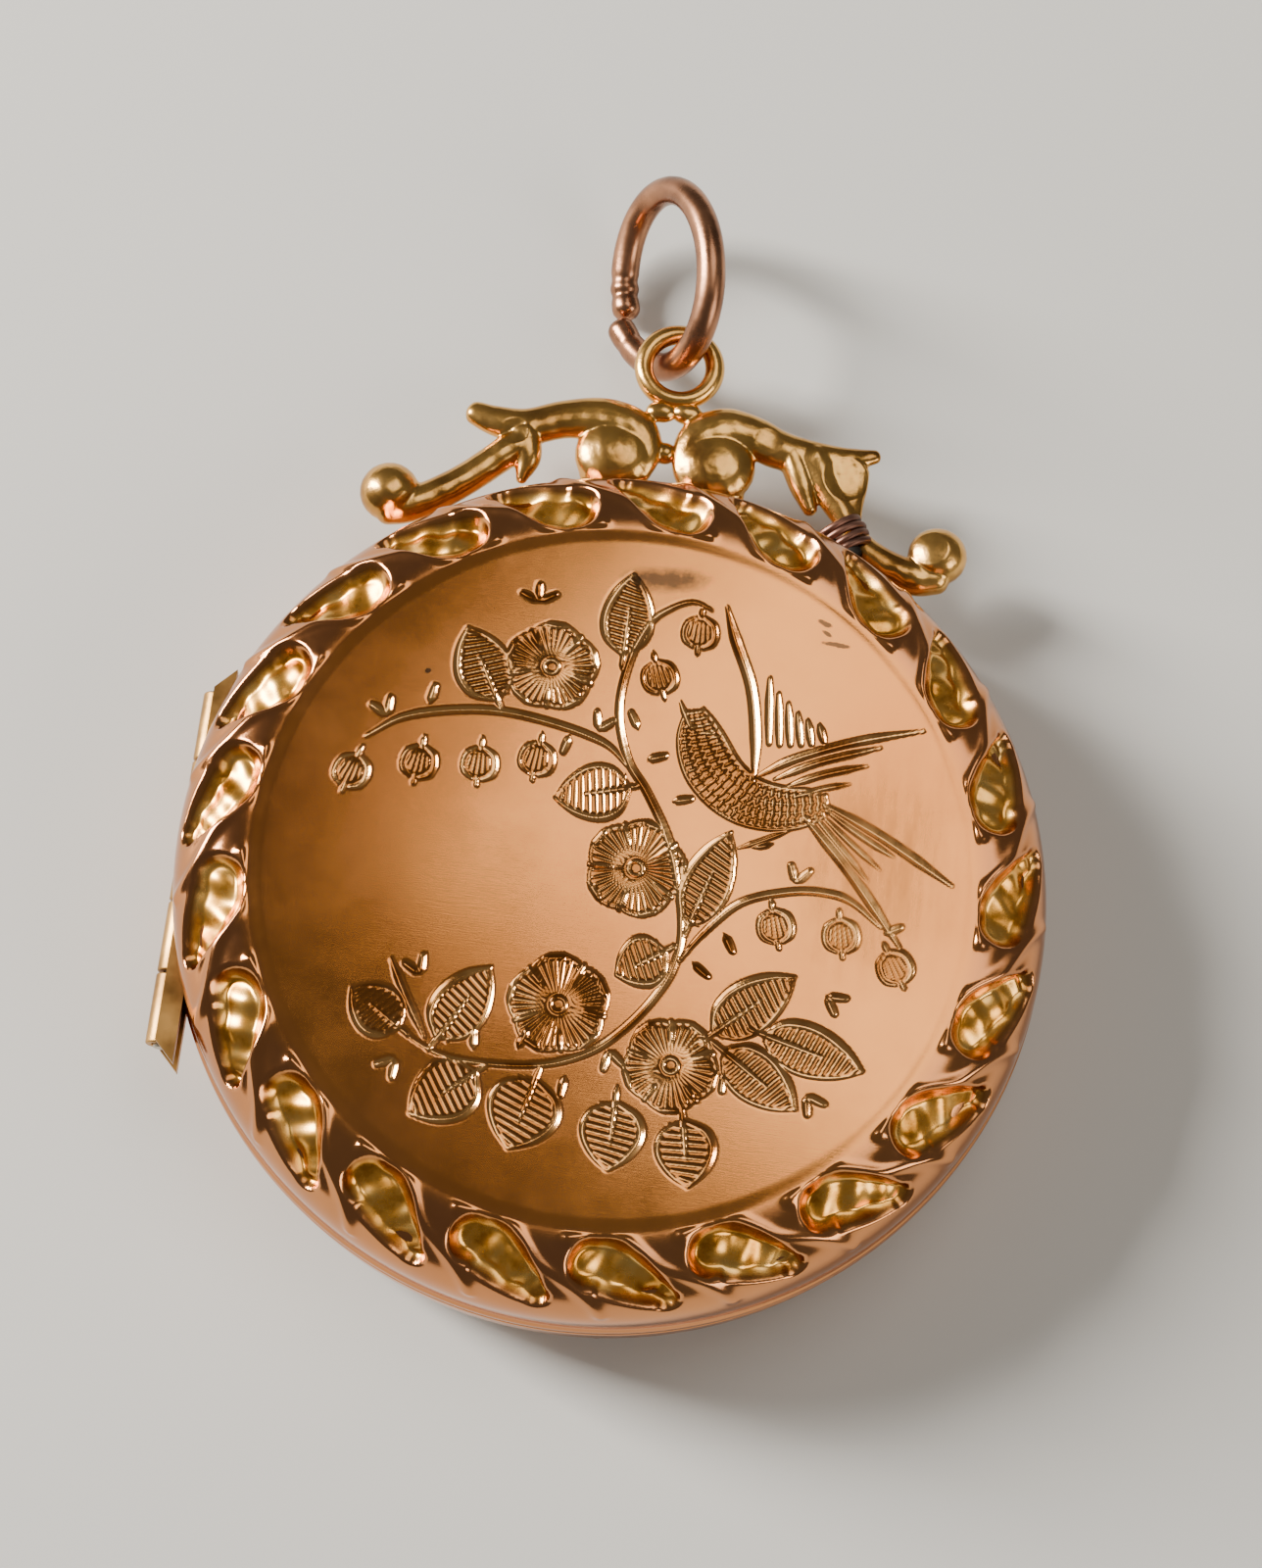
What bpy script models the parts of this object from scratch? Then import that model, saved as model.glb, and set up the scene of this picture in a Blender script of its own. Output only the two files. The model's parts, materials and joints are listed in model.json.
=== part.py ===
"""Round hinged locket with a scroll crown, a bail loop and a jump ring.

The locket lies on its flat back. +Z points out of the face, +Y towards the crown, and the
origin is the middle of the back panel. Lengths are written in millimetres and built in metres.
"""

import math

import bmesh
import bpy
import numpy as np
from mathutils import Matrix, Vector

MM = 0.001

# ---- overall sizes -------------------------------------------------------------------------
CASE_D = 29.0  # across the closed case
CLOSED_T = 7.2  # between the two flat panels
PANEL_D = 23.2  # flat panel inside the pressed border
SHEET_T = 0.35  # cover sheet
SKIRT_H = 1.3  # upright edge of each cover
FRONT_DOME = 0.25  # rise at the middle of the front panel

# ---- pressed border ------------------------------------------------------------------------
LOBES = 21
HOLLOW_DEPTH = 0.42
HOLLOW_LONG = 1.45
HOLLOW_WIDE = 0.80
HOLLOW_TILT = math.radians(30)
STEPS_PER_LOBE = 4

# ---- clearances ----------------------------------------------------------------------------
GAP = 0.05  # between fixed neighbours
PART_GAP = 0.05  # each cover's edge to the parting plane
LIP_CLEAR = 0.07  # closing lip to the wall it slides into
RING_CLEAR = 0.25  # jump ring wire to bail wire

# ---- inside --------------------------------------------------------------------------------
WALL_T = 0.35
FLOOR_T = 0.30
FLANGE_T = 0.35
POCKET_DEPTH = 1.85  # parting plane to pan floor
CARD_T = 0.20
WINDOW_T = 0.22
BEZEL_H = 0.50
BEZEL_W = 1.55
LIP_T = 0.30
LIP_REACH = 0.70  # how far the closing lip enters the back half

# ---- hinge ---------------------------------------------------------------------------------
HINGE_IN = 0.5  # hinge axis inside the case edge
KNUCKLE_R = 0.50
PIN_R = 0.24
PIN_CLEAR = 0.04
HINGE_LEN = 12.2
HINGE_Y = -0.8  # middle of the hinge along its axis
KNUCKLES = 5
KNUCKLE_GAP = 0.08
PLATE_T = 0.40
PLATE_W = 0.90
PLATE_OUT = 0.30  # hinge axis to the plate's outer edge
PLATE_EAR = 0.70  # length of each sloping plate end

# ---- crown ---------------------------------------------------------------------------------
CROWN_Z = 3.0
CROWN_T = 1.15  # thickness of the scroll work
BALL_R = 1.0
VOLUTE_R = 1.25
BAIL_OUT_D = 3.2
BAIL_WIRE_D = 0.60
BAIL_FOOT = 3.6  # case edge to the bottom of the bail loop
RING_OUT_D = 7.6
RING_WIRE_D = 1.05
RING_OVAL = 0.80  # the ring is pulled out of round
RING_LEAN = math.radians(32)
RING_REST = math.radians(-3)
RING_TURN = math.radians(13)  # where on the loop the ring hangs, from +Y towards -X
WRAP_WIRE_D = 0.26
WRAP_TURNS = 3
WRAP_R = 0.78

# ---- sizes that follow ---------------------------------------------------------------------
CASE_R = CASE_D / 2
PANEL_R = PANEL_D / 2
HALF_T = CLOSED_T / 2
PART_Z = HALF_T
CURVE_W = CASE_R - PANEL_R - 0.5  # the border's curve, out and down
CURVE_H = HALF_T - 0.12 - SKIRT_H
PAN_CORNER = POCKET_DEPTH + FLOOR_T + HOLLOW_DEPTH + GAP
CORNER_SINE = min(1.0, max(0.0, (PAN_CORNER - SKIRT_H) / (CURVE_H - SHEET_T)))
WALL_REACH = PANEL_R + 0.5 + (CURVE_W - SHEET_T) * math.sqrt(1 - CORNER_SINE ** 2)
WALL_OUT = min(CASE_R - SHEET_T - 0.80, WALL_REACH - GAP)
WALL_IN = WALL_OUT - WALL_T
FLANGE_OUT = CASE_R - SHEET_T - GAP
HINGE_X = -(CASE_R - HINGE_IN)
PLATE_D0 = KNUCKLE_R + GAP
PLATE_D1 = PLATE_D0 + PLATE_T
NOTCH_D = PLATE_D1 + GAP
PLATE_X1 = HINGE_X - PLATE_OUT + PLATE_W
NOTCH_X = PLATE_X1 + GAP
CARD_D = POCKET_DEPTH - GAP
WINDOW_D = CARD_D - CARD_T - GAP
BEZEL_D = WINDOW_D - WINDOW_T - GAP
LIP_TOP = BEZEL_D - BEZEL_H - GAP
LIP_OUT = WALL_IN - LIP_CLEAR
BAIL_Y = CASE_R + BAIL_FOOT + BAIL_OUT_D / 2

parts = bpy.data.collections.new("locket")
cutters = bpy.data.collections.new("cutters")


def clear_scene():
    for obj in list(bpy.data.objects):
        bpy.data.objects.remove(obj, do_unlink=True)
    bpy.context.scene.collection.children.link(parts)
    bpy.context.scene.collection.children.link(cutters)
    cutters.hide_render = True


def metal(name, colour, roughness, metallic=1.0):
    mat = bpy.data.materials.new(name)
    mat.use_nodes = True
    shader = mat.node_tree.nodes["Principled BSDF"]
    shader.inputs["Base Color"].default_value = (*colour, 1.0)
    shader.inputs["Roughness"].default_value = roughness
    shader.inputs["Metallic"].default_value = metallic
    mat.diffuse_color = (*colour, 1.0)
    return mat


def add(name, points, faces, material, origin=(0.0, 0.0, 0.0), helper=False):
    """A mesh object with its origin at the given point; points are in millimetres."""
    mesh = bpy.data.meshes.new(name)
    shifted = [tuple((p[i] - origin[i]) * MM for i in range(3)) for p in points]
    mesh.from_pydata(shifted, [], faces)
    shell = bmesh.new()
    shell.from_mesh(mesh)
    bmesh.ops.recalc_face_normals(shell, faces=shell.faces)
    shell.to_mesh(mesh)
    shell.free()
    mesh.materials.append(material)
    obj = bpy.data.objects.new(name, mesh)
    obj.location = [c * MM for c in origin]
    (cutters if helper else parts).objects.link(obj)
    if helper:
        obj.hide_render = True
        obj.display_type = "WIRE"
    return obj


def boolean(obj, other, operation):
    step = obj.modifiers.new(other.name, "BOOLEAN")
    step.operation = operation
    step.solver = "EXACT"
    step.object = other


def turn(name, profile, material, steps=64, origin=(0.0, 0.0, 0.0), centre=(0.0, 0.0)):
    """A solid turned about a vertical axis from a closed profile of (radius, z) points."""
    points = []
    loops = []
    for radius, z in profile:
        if radius == 0:
            loops.append([len(points)] * steps)
            points.append((centre[0], centre[1], z))
            continue
        loops.append(list(range(len(points), len(points) + steps)))
        for i in range(steps):
            a = 2 * math.pi * i / steps
            x = centre[0] + radius * math.cos(a)
            y = centre[1] + radius * math.sin(a)
            points.append((x, y, z))
    faces = []
    for k in range(len(loops)):
        low = loops[k]
        high = loops[(k + 1) % len(loops)]
        for i in range(steps):
            j = (i + 1) % steps
            corners = [low[i], low[j], high[j], high[i]]
            unique = list(dict.fromkeys(corners))
            if len(unique) > 2:
                faces.append(unique)
    return add(name, points, faces, material, origin)


def box(name, low, high, material, origin=(0.0, 0.0, 0.0), helper=False):
    points = [(x, y, z) for x in (low[0], high[0]) for y in (low[1], high[1]) for z in (low[2], high[2])]
    faces = [(0, 1, 3, 2), (4, 6, 7, 5), (0, 4, 5, 1), (2, 3, 7, 6), (0, 2, 6, 4), (1, 5, 7, 3)]
    return add(name, points, faces, material, origin, helper)


def smooth_path(knots, per_span):
    """Points along a curve through the knots; each knot is any tuple of numbers."""
    knots = [np.array(k, float) for k in knots]
    ends = [2 * knots[0] - knots[1], *knots, 2 * knots[-1] - knots[-2]]
    out = []
    for i in range(1, len(ends) - 2):
        a, b, c, d = ends[i - 1 : i + 3]
        for s in range(per_span):
            t = s / per_span
            out.append(0.5 * (2 * b + (c - a) * t + (2 * a - 5 * b + 4 * c - d) * t * t
                              + (3 * b - a - 3 * c + d) * t ** 3))
    out.append(knots[-1])
    return out


def sweep(name, path, radii, material, sides=10, flat=1.0, up=(0, 0, 1), origin=(0.0, 0.0, 0.0),
          closed=False, helper=False):
    """A tube along path. radii are half widths across the path, and flat scales them along up."""
    path = [Vector(p) for p in path]
    count = len(path)
    points = []
    for i, p in enumerate(path):
        if closed:
            along = path[(i + 1) % count] - path[i - 1]
        else:
            along = path[min(i + 1, count - 1)] - path[max(i - 1, 0)]
        along.normalize()
        side = along.cross(Vector(up)).normalized()
        lift = side.cross(along).normalized()
        for k in range(sides):
            a = 2 * math.pi * k / sides
            points.append(tuple(p + radii[i] * (side * math.cos(a) + lift * flat * math.sin(a))))
    faces = []
    for i in range(count if closed else count - 1):
        j = (i + 1) % count
        for k in range(sides):
            m = (k + 1) % sides
            faces.append((i * sides + k, i * sides + m, j * sides + m, j * sides + k))
    if not closed:
        faces.append(tuple(range(sides)))
        faces.append(tuple(range((count - 1) * sides, count * sides)))
    return add(name, points, faces, material, origin, helper)


def scroll_arm(name, knots, material, helper=False, sides=10):
    """Flat scroll work in the crown's plane through knots of (x, y, half width)."""
    fine = smooth_path(knots, 4)
    path = [(float(x), float(y), CROWN_Z) for x, y, _ in fine]
    radii = [float(w) for _, _, w in fine]
    wide = max(radii)
    return sweep(name, path, radii, material, sides, min(1.0, CROWN_T / 2 / wide), helper=helper)


def ball(name, centre, radius, material, squash=1.0, helper=True, rings=8, sides=14):
    points = [(centre[0], centre[1], centre[2] - radius * squash)]
    for i in range(1, rings):
        a = math.pi * i / rings
        for k in range(sides):
            b = 2 * math.pi * k / sides
            r = radius * math.sin(a)
            points.append((centre[0] + r * math.cos(b), centre[1] + r * math.sin(b),
                           centre[2] - radius * squash * math.cos(a)))
    top = len(points)
    points.append((centre[0], centre[1], centre[2] + radius * squash))
    faces = []
    for k in range(sides):
        m = (k + 1) % sides
        faces.append((0, 1 + m, 1 + k))
        last = 1 + (rings - 2) * sides
        faces.append((top, last + k, last + m))
        for i in range(rings - 2):
            low = 1 + i * sides
            faces.append((low + k, low + m, low + sides + m, low + sides + k))
    return add(name, points, faces, material, helper=helper)


# ---- covers --------------------------------------------------------------------------------
def cover_profile(dome, inset):
    """(radius, depth) points of one cover's face from the middle to the edge.

    inset moves the line inwards by the sheet's thickness.
    """
    out = [(0.0, HALF_T + dome - inset)]
    for share in (0.35, 0.7, 0.9):
        out.append((PANEL_R * share, HALF_T + dome * (1 - share ** 2) - inset))
    out.append((PANEL_R, HALF_T - inset))
    for step in range(0, 8):
        a = math.radians(90 - step * 90 / 7)
        r = PANEL_R + 0.5 + (CURVE_W - inset) * math.cos(a)
        d = SKIRT_H + (CURVE_H - inset) * math.sin(a)
        out.append((r, d))
    out.append((CASE_R - inset, PART_GAP))
    return out


def hollow(radius, angle):
    """How far the border is pressed in at this place."""
    pitch = 2 * math.pi / LOBES
    ring = CASE_R - 1.5
    best = 0.0
    near = round(angle / pitch)
    for lobe in (near - 1, near, near + 1):
        along = -(angle - lobe * pitch) * ring
        out = radius - ring
        u = along * math.cos(HOLLOW_TILT) - out * math.sin(HOLLOW_TILT)
        v = along * math.sin(HOLLOW_TILT) + out * math.cos(HOLLOW_TILT)
        reach = (u / HOLLOW_LONG) ** 2 + (v / HOLLOW_WIDE) ** 2
        best = max(best, max(0.0, 1 - reach) ** 0.7)
    return HOLLOW_DEPTH * best


def cover(name, sign, dome, material, origin):
    steps = LOBES * STEPS_PER_LOBE
    points = []
    loops = []
    outer = cover_profile(dome, 0.0)
    inner = cover_profile(dome, SHEET_T)
    profile = [(r, d, 1) for r, d in outer] + [(r, d, 1) for r, d in reversed(inner)]
    for radius, depth, press in profile:
        if radius == 0:
            loops.append([len(points)] * steps)
            points.append((0.0, 0.0, PART_Z + sign * depth))
            continue
        loops.append(list(range(len(points), len(points) + steps)))
        for i in range(steps):
            a = 2 * math.pi * i / steps
            dip = hollow(radius, a) if PANEL_R < radius and depth > SKIRT_H * 0.9 else 0.0
            lean = min(1.0, max(0.0, (radius - PANEL_R) / (CASE_R - PANEL_R)))
            r = radius - dip * lean
            d = depth - dip * (1 - 0.5 * lean)
            points.append((r * math.cos(a), r * math.sin(a), PART_Z + sign * d))
    faces = []
    for k in range(len(loops) - 1):
        low = loops[k]
        high = loops[k + 1]
        for i in range(steps):
            j = (i + 1) % steps
            unique = list(dict.fromkeys([low[i], low[j], high[j], high[i]]))
            if len(unique) > 2:
                faces.append(unique)
    obj = add(name, points, faces, material, origin)
    boolean(obj, notch(name, sign, material), "DIFFERENCE")
    return obj


def notch(name, sign, material):
    """Room for the hinge in one half's edge."""
    z0, z1 = sorted((PART_Z - sign * 1.0, PART_Z + sign * NOTCH_D))
    low = (-CASE_R - 2, HINGE_Y - HINGE_LEN / 2 - PLATE_EAR - 0.4, z0)
    high = (NOTCH_X, HINGE_Y + HINGE_LEN / 2 + PLATE_EAR + 0.4, z1)
    return box(name + "_notch", low, high, material, helper=True)


# ---- one half's inside pieces --------------------------------------------------------------
def stack(sign, pairs):
    return [(r, PART_Z + sign * d) for r, d in pairs]


def pan(name, sign, material, origin):
    profile = [(0.0, POCKET_DEPTH), (WALL_IN, POCKET_DEPTH), (WALL_IN, PART_GAP), (FLANGE_OUT, PART_GAP),
               (FLANGE_OUT, PART_GAP + FLANGE_T), (WALL_OUT, PART_GAP + FLANGE_T),
               (WALL_OUT, POCKET_DEPTH + FLOOR_T), (0.0, POCKET_DEPTH + FLOOR_T)]
    obj = turn(name, stack(sign, profile), material, origin=origin)
    boolean(obj, notch(name, sign, material), "DIFFERENCE")
    return obj


def disc(name, sign, radius, depth, thick, material, origin):
    profile = [(0.0, depth), (radius, depth), (radius, depth - thick), (0.0, depth - thick)]
    return turn(name, stack(sign, profile), material, origin=origin)


def bezel(name, sign, material, origin):
    outer = WALL_IN - GAP
    low = BEZEL_D
    profile = [(outer, low), (outer, low - BEZEL_H), (outer - 0.45 * BEZEL_W, low - BEZEL_H * 0.95),
               (outer - 0.8 * BEZEL_W, low - BEZEL_H * 0.55), (outer - BEZEL_W, low - BEZEL_H * 0.15),
               (outer - BEZEL_W, low)]
    return turn(name, stack(sign, profile), material, origin=origin)


def hinge_plate(name, sign, material, origin):
    x0 = HINGE_X - PLATE_OUT
    x1 = PLATE_X1
    y0 = HINGE_LEN / 2
    y1 = y0 + PLATE_EAR
    outline = [(x0, HINGE_Y - y0), (x1, HINGE_Y - y1), (x1, HINGE_Y + y1), (x0, HINGE_Y + y0)]
    z0 = PART_Z + sign * PLATE_D0
    z1 = PART_Z + sign * PLATE_D1
    points = [(x, y, z) for z in (z0, z1) for x, y in outline]
    faces = [(0, 1, 2, 3), (4, 5, 6, 7)]
    for i in range(4):
        j = (i + 1) % 4
        faces.append((i, j, 4 + j, 4 + i))
    return add(name, points, faces, material, origin)


def knuckle(name, index, material, origin):
    length = (HINGE_LEN - (KNUCKLES - 1) * KNUCKLE_GAP) / KNUCKLES
    start = HINGE_Y - HINGE_LEN / 2 + index * (length + KNUCKLE_GAP)
    ring = [(KNUCKLE_R, start), (KNUCKLE_R, start + length),
            (PIN_R + PIN_CLEAR, start + length), (PIN_R + PIN_CLEAR, start)]
    return along_hinge(name, ring, material, origin, 24)


def along_hinge(name, profile, material, origin, steps=24):
    """A solid turned about the hinge axis from (radius, y) points."""
    points = []
    loops = []
    for radius, y in profile:
        if radius == 0:
            loops.append([len(points)] * steps)
            points.append((HINGE_X, y, PART_Z))
            continue
        loops.append(list(range(len(points), len(points) + steps)))
        for i in range(steps):
            a = 2 * math.pi * i / steps
            points.append((HINGE_X + radius * math.cos(a), y, PART_Z + radius * math.sin(a)))
    faces = []
    for k in range(len(loops)):
        low = loops[k]
        high = loops[(k + 1) % len(loops)]
        for i in range(steps):
            j = (i + 1) % steps
            unique = list(dict.fromkeys([low[i], low[j], high[j], high[i]]))
            if len(unique) > 2:
                faces.append(unique)
    return add(name, points, faces, material, origin)


# ---- crown ---------------------------------------------------------------------------------
def rim(x, over=0.0):
    """The case edge's y at this x, moved outwards by over."""
    return math.sqrt((CASE_R + over) ** 2 - x ** 2)


def left_scroll(material):
    arm = [(-7.1, rim(-7.1, 4.1), 0.20), (-6.3, rim(-6.3, 3.7), 0.36), (-5.0, rim(-5.0, 3.3), 0.48),
           (-3.6, rim(-3.6, 3.4), 0.52), (-2.3, rim(-2.3, 3.45), 0.52), (-1.25, rim(-1.25, 3.15), 0.52),
           (-0.72, rim(-0.72, 2.2), 0.50), (-0.85, rim(-0.85, 1.25), 0.46)]
    obj = scroll_arm("left_scroll", arm, material)
    stem = [(-5.2, rim(-5.2, 3.2), 0.50), (-5.9, rim(-5.9, 2.4), 0.52), (-6.7, rim(-6.7, 1.6), 0.54),
            (-7.6, rim(-7.6, 1.15), 0.56), (-8.7, rim(-8.7, 1.1), 0.60), (-9.6, rim(-9.6, 1.5), 0.6)]
    leaf = [(-5.1, rim(-5.1, 3.2), 0.45), (-4.9, rim(-4.9, 2.2), 0.36), (-5.1, rim(-5.1, 1.2), 0.14)]
    foot = [(-2.0, rim(-2.0, 1.9), 0.95), (-2.0, rim(-2.0, 0.95), 0.85), (-2.0, rim(-2.0, GAP + 0.02), 0.95)]
    boolean(obj, scroll_arm("left_stem", stem, material, True), "UNION")
    boolean(obj, scroll_arm("left_leaf", leaf, material, True), "UNION")
    boolean(obj, scroll_arm("left_foot", foot, material, True), "UNION")
    boolean(obj, ball("left_volute", (-1.85, rim(-1.85, 2.0), CROWN_Z), VOLUTE_R, material, 0.5), "UNION")
    boolean(obj, ball("left_ball", (-9.5, rim(-9.5, 2.0), CROWN_Z), BALL_R, material, 0.85), "UNION")
    trim_to_case(obj, material)
    return obj


def right_scroll(material):
    arm = [(0.75, rim(0.75, 1.25), 0.46), (0.55, rim(0.55, 2.2), 0.48), (1.0, rim(1.0, 3.2), 0.50),
           (2.1, rim(2.1, 3.7), 0.52), (3.3, rim(3.3, 3.6), 0.52), (4.6, rim(4.6, 3.5), 0.52),
           (6.0, rim(6.0, 3.9), 0.42), (7.4, rim(7.4, 4.6), 0.18)]
    obj = scroll_arm("right_scroll", arm, material)
    calyx = [(4.9, rim(4.9, 3.2), 0.95), (5.4, rim(5.4, 2.6), 0.90), (5.8, rim(5.8, 2.0), 0.72),
             (6.15, rim(6.15, 1.5), 0.52), (6.4, rim(6.4, 1.15), 0.50)]
    leaf = [(4.3, rim(4.3, 3.2), 0.40), (4.8, rim(4.8, 1.9), 0.34), (5.2, rim(5.2, 1.0), 0.16)]
    foot = [(1.9, rim(1.9, 1.9), 0.95), (1.9, rim(1.9, 0.95), 0.85), (1.9, rim(1.9, GAP + 0.02), 0.95)]
    boolean(obj, scroll_arm("right_calyx", calyx, material, True), "UNION")
    boolean(obj, scroll_arm("right_leaf", leaf, material, True), "UNION")
    boolean(obj, scroll_arm("right_foot", foot, material, True), "UNION")
    boolean(obj, ball("right_volute", (1.6, rim(1.6, 2.1), CROWN_Z), VOLUTE_R, material, 0.5), "UNION")
    trim_to_case(obj, material)
    return obj


def right_tip(material):
    stem = [(6.62, rim(6.62, 0.92), 0.48), (7.2, rim(7.2, 0.85), 0.52), (8.0, rim(8.0, 0.85), 0.58),
            (8.9, rim(8.9, 1.0), 0.62), (9.8, rim(9.8, 1.6), 0.6)]
    obj = scroll_arm("right_scroll_tip", stem, material)
    boolean(obj, ball("right_ball", (9.7, rim(9.7, 2.1), CROWN_Z), BALL_R, material, 0.85), "UNION")
    return obj


def trim_to_case(obj, material):
    """Shapes the feet to the round of the case, one gap away from it."""
    steps = 168
    points = []
    for z in (-1.0, CLOSED_T + 1):
        for i in range(steps):
            a = 2 * math.pi * (i + 0.5) / steps
            points.append(((CASE_R + GAP) * math.cos(a), (CASE_R + GAP) * math.sin(a), z))
    faces = [tuple(range(steps)), tuple(range(steps, 2 * steps))]
    for i in range(steps):
        j = (i + 1) % steps
        faces.append((i, j, steps + j, steps + i))
    boolean(obj, add(obj.name + "_case_cut", points, faces, material, helper=True), "DIFFERENCE")


def wrapped_wire(material):
    """Binding wire wound round the joint of the right scroll and its tip."""
    start = Vector((6.28, rim(6.28, 1.22), CROWN_Z))
    end = Vector((6.72, rim(6.72, 0.90), CROWN_Z))
    along = (end - start).normalized()
    middle = (start + end) / 2
    side = along.cross(Vector((0, 0, 1))).normalized()
    up = side.cross(along)
    steps = 16 * WRAP_TURNS
    pitch = WRAP_WIRE_D * 1.15
    path = []
    for i in range(steps + 1):
        a = 2 * math.pi * i / 16
        shift = (i / 16 - WRAP_TURNS / 2) * pitch
        path.append(middle + along * shift + WRAP_R * (side * math.cos(a) + up * math.sin(a)))
    return sweep("binding_wire", path, [WRAP_WIRE_D / 2] * len(path), material, 8, up=tuple(along))


def solder_lump(material):
    """A dark lump on top of the tip's stem, just past the binding wire."""
    x = 7.08
    top = CROWN_Z + 0.52 + GAP
    return ball("repair_solder", (x, rim(x, 0.70), top + 0.17), 0.32, material, 0.53, False, 6, 10)


def bail_loop(material):
    wire = BAIL_WIRE_D / 2
    middle = (0.0, BAIL_Y)
    radius = BAIL_OUT_D / 2 - wire
    profile = [(radius + wire * math.cos(a), CROWN_Z + wire * math.sin(a))
               for a in (2 * math.pi * k / 12 for k in range(12))]
    return turn("bail_loop", profile, material, 36, centre=middle)


def jump_ring(material):
    """Round wire ring through the bail loop. Its plane leans from upright and is turned by RING_TURN.

    The ring turns in its own plane about the far wire of the loop, and lies at RING_REST.
    """
    wire = RING_WIRE_D / 2
    radius = RING_OUT_D / 2 - wire
    spun = Matrix.Rotation(RING_TURN, 3, "Z")
    ahead = spun @ Vector((0.0, 1.0, 0.0))
    up = spun @ Vector((math.sin(RING_LEAN), 0.0, math.cos(RING_LEAN)))
    hook = Vector((0.0, BAIL_Y, CROWN_Z)) + ahead * (BAIL_OUT_D / 2 - BAIL_WIRE_D / 2)
    across = ahead.cross(up)
    lifted = Matrix.Rotation(RING_REST, 3, across)
    middle = ahead * (radius - wire - RING_CLEAR - BAIL_WIRE_D / 2)
    steps = 36
    path = []
    for i in range(steps):
        a = 2 * math.pi * i / steps
        spoke = middle + radius * (ahead * math.cos(a) + up * RING_OVAL * math.sin(a))
        path.append(hook + lifted @ spoke)
    return sweep("jump_ring", path, [wire] * steps, material, 12, up=tuple(across),
                 origin=tuple(hook), closed=True)


# ---- assembly ------------------------------------------------------------------------------
clear_scene()

rose = metal("rose_gold", (0.78, 0.45, 0.28), 0.16)
rose_back = metal("rose_gold_back", (0.76, 0.44, 0.27), 0.2)
gilt = metal("gilt_base_metal", (0.75, 0.55, 0.28), 0.3)
gilt_lid = metal("gilt_base_metal_lid", (0.75, 0.55, 0.28), 0.3)
hinge_gold = metal("hinge_gold", (0.80, 0.58, 0.28), 0.25)
hinge_steel = metal("hinge_pin_steel", (0.5, 0.48, 0.45), 0.3)
crown_gold = metal("crown_yellow_gold", (0.78, 0.56, 0.26), 0.24)
bezel_gold = metal("bezel_gilt", (0.80, 0.60, 0.30), 0.22)
ring_copper = metal("jump_ring_rose", (0.62, 0.36, 0.24), 0.3)
wire_dark = metal("oxidised_copper_wire", (0.16, 0.09, 0.07), 0.45)
solder_dark = metal("blackened_solder", (0.05, 0.045, 0.04), 0.7, 0.6)
paper = metal("photo_card_paper", (0.72, 0.64, 0.50), 0.85, 0.0)
clear = metal("clear_window", (0.90, 0.92, 0.92), 0.06, 0.0)

ROOT = (0.0, 0.0, 0.0)
LID = (HINGE_X, 0.0, PART_Z)

for side, sign, dome, origin, skin, inner in (
    ("back", -1, 0.0, ROOT, rose_back, gilt),
    ("front", 1, FRONT_DOME, LID, rose, gilt_lid),
):
    cover(side + "_cover", sign, dome, skin, origin)
    pan(side + "_pan", sign, inner, origin)
    disc(side + "_photo_card", sign, WALL_IN - 2 * GAP, CARD_D, CARD_T, paper, origin)
    disc(side + "_window", sign, WALL_IN - 2 * GAP, WINDOW_D, WINDOW_T, clear, origin)
    bezel(side + "_bezel", sign, bezel_gold, origin)
    hinge_plate(side + "_hinge_plate", sign, hinge_gold, origin)

for index in range(KNUCKLES):
    back = index % 2 == 0
    label = ("back" if back else "front") + "_knuckle_" + str(index // 2 + 1)
    knuckle(label, index, hinge_gold, ROOT if back else LID)

pin_low = HINGE_Y - HINGE_LEN / 2 - 0.1
pin_high = HINGE_Y + HINGE_LEN / 2 + 0.1
along_hinge("hinge_pin", [(0.0, pin_low), (PIN_R, pin_low), (PIN_R, pin_high), (0.0, pin_high)], hinge_steel, ROOT)

lip = [(LIP_OUT, LIP_TOP), (LIP_OUT, -LIP_REACH + 0.12), (LIP_OUT - 0.1, -LIP_REACH),
       (LIP_OUT - LIP_T, -LIP_REACH), (LIP_OUT - LIP_T, LIP_TOP)]
turn("closing_lip", stack(1, lip), gilt_lid, origin=LID)

left_scroll(crown_gold)
right_scroll(crown_gold)
right_tip(crown_gold)
wrapped_wire(wire_dark)
solder_lump(solder_dark)
bail_loop(crown_gold)
jump_ring(ring_copper)
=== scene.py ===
"""Round rose gold locket lying on its back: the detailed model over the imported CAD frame.

Lengths in this file are millimetres unless a name ends in _M. Meshes are built in millimetres
and scaled to metres when they become objects.
"""

import json
import math

import bmesh
import bpy
import numpy as np
from mathutils import Matrix, Vector


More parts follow.
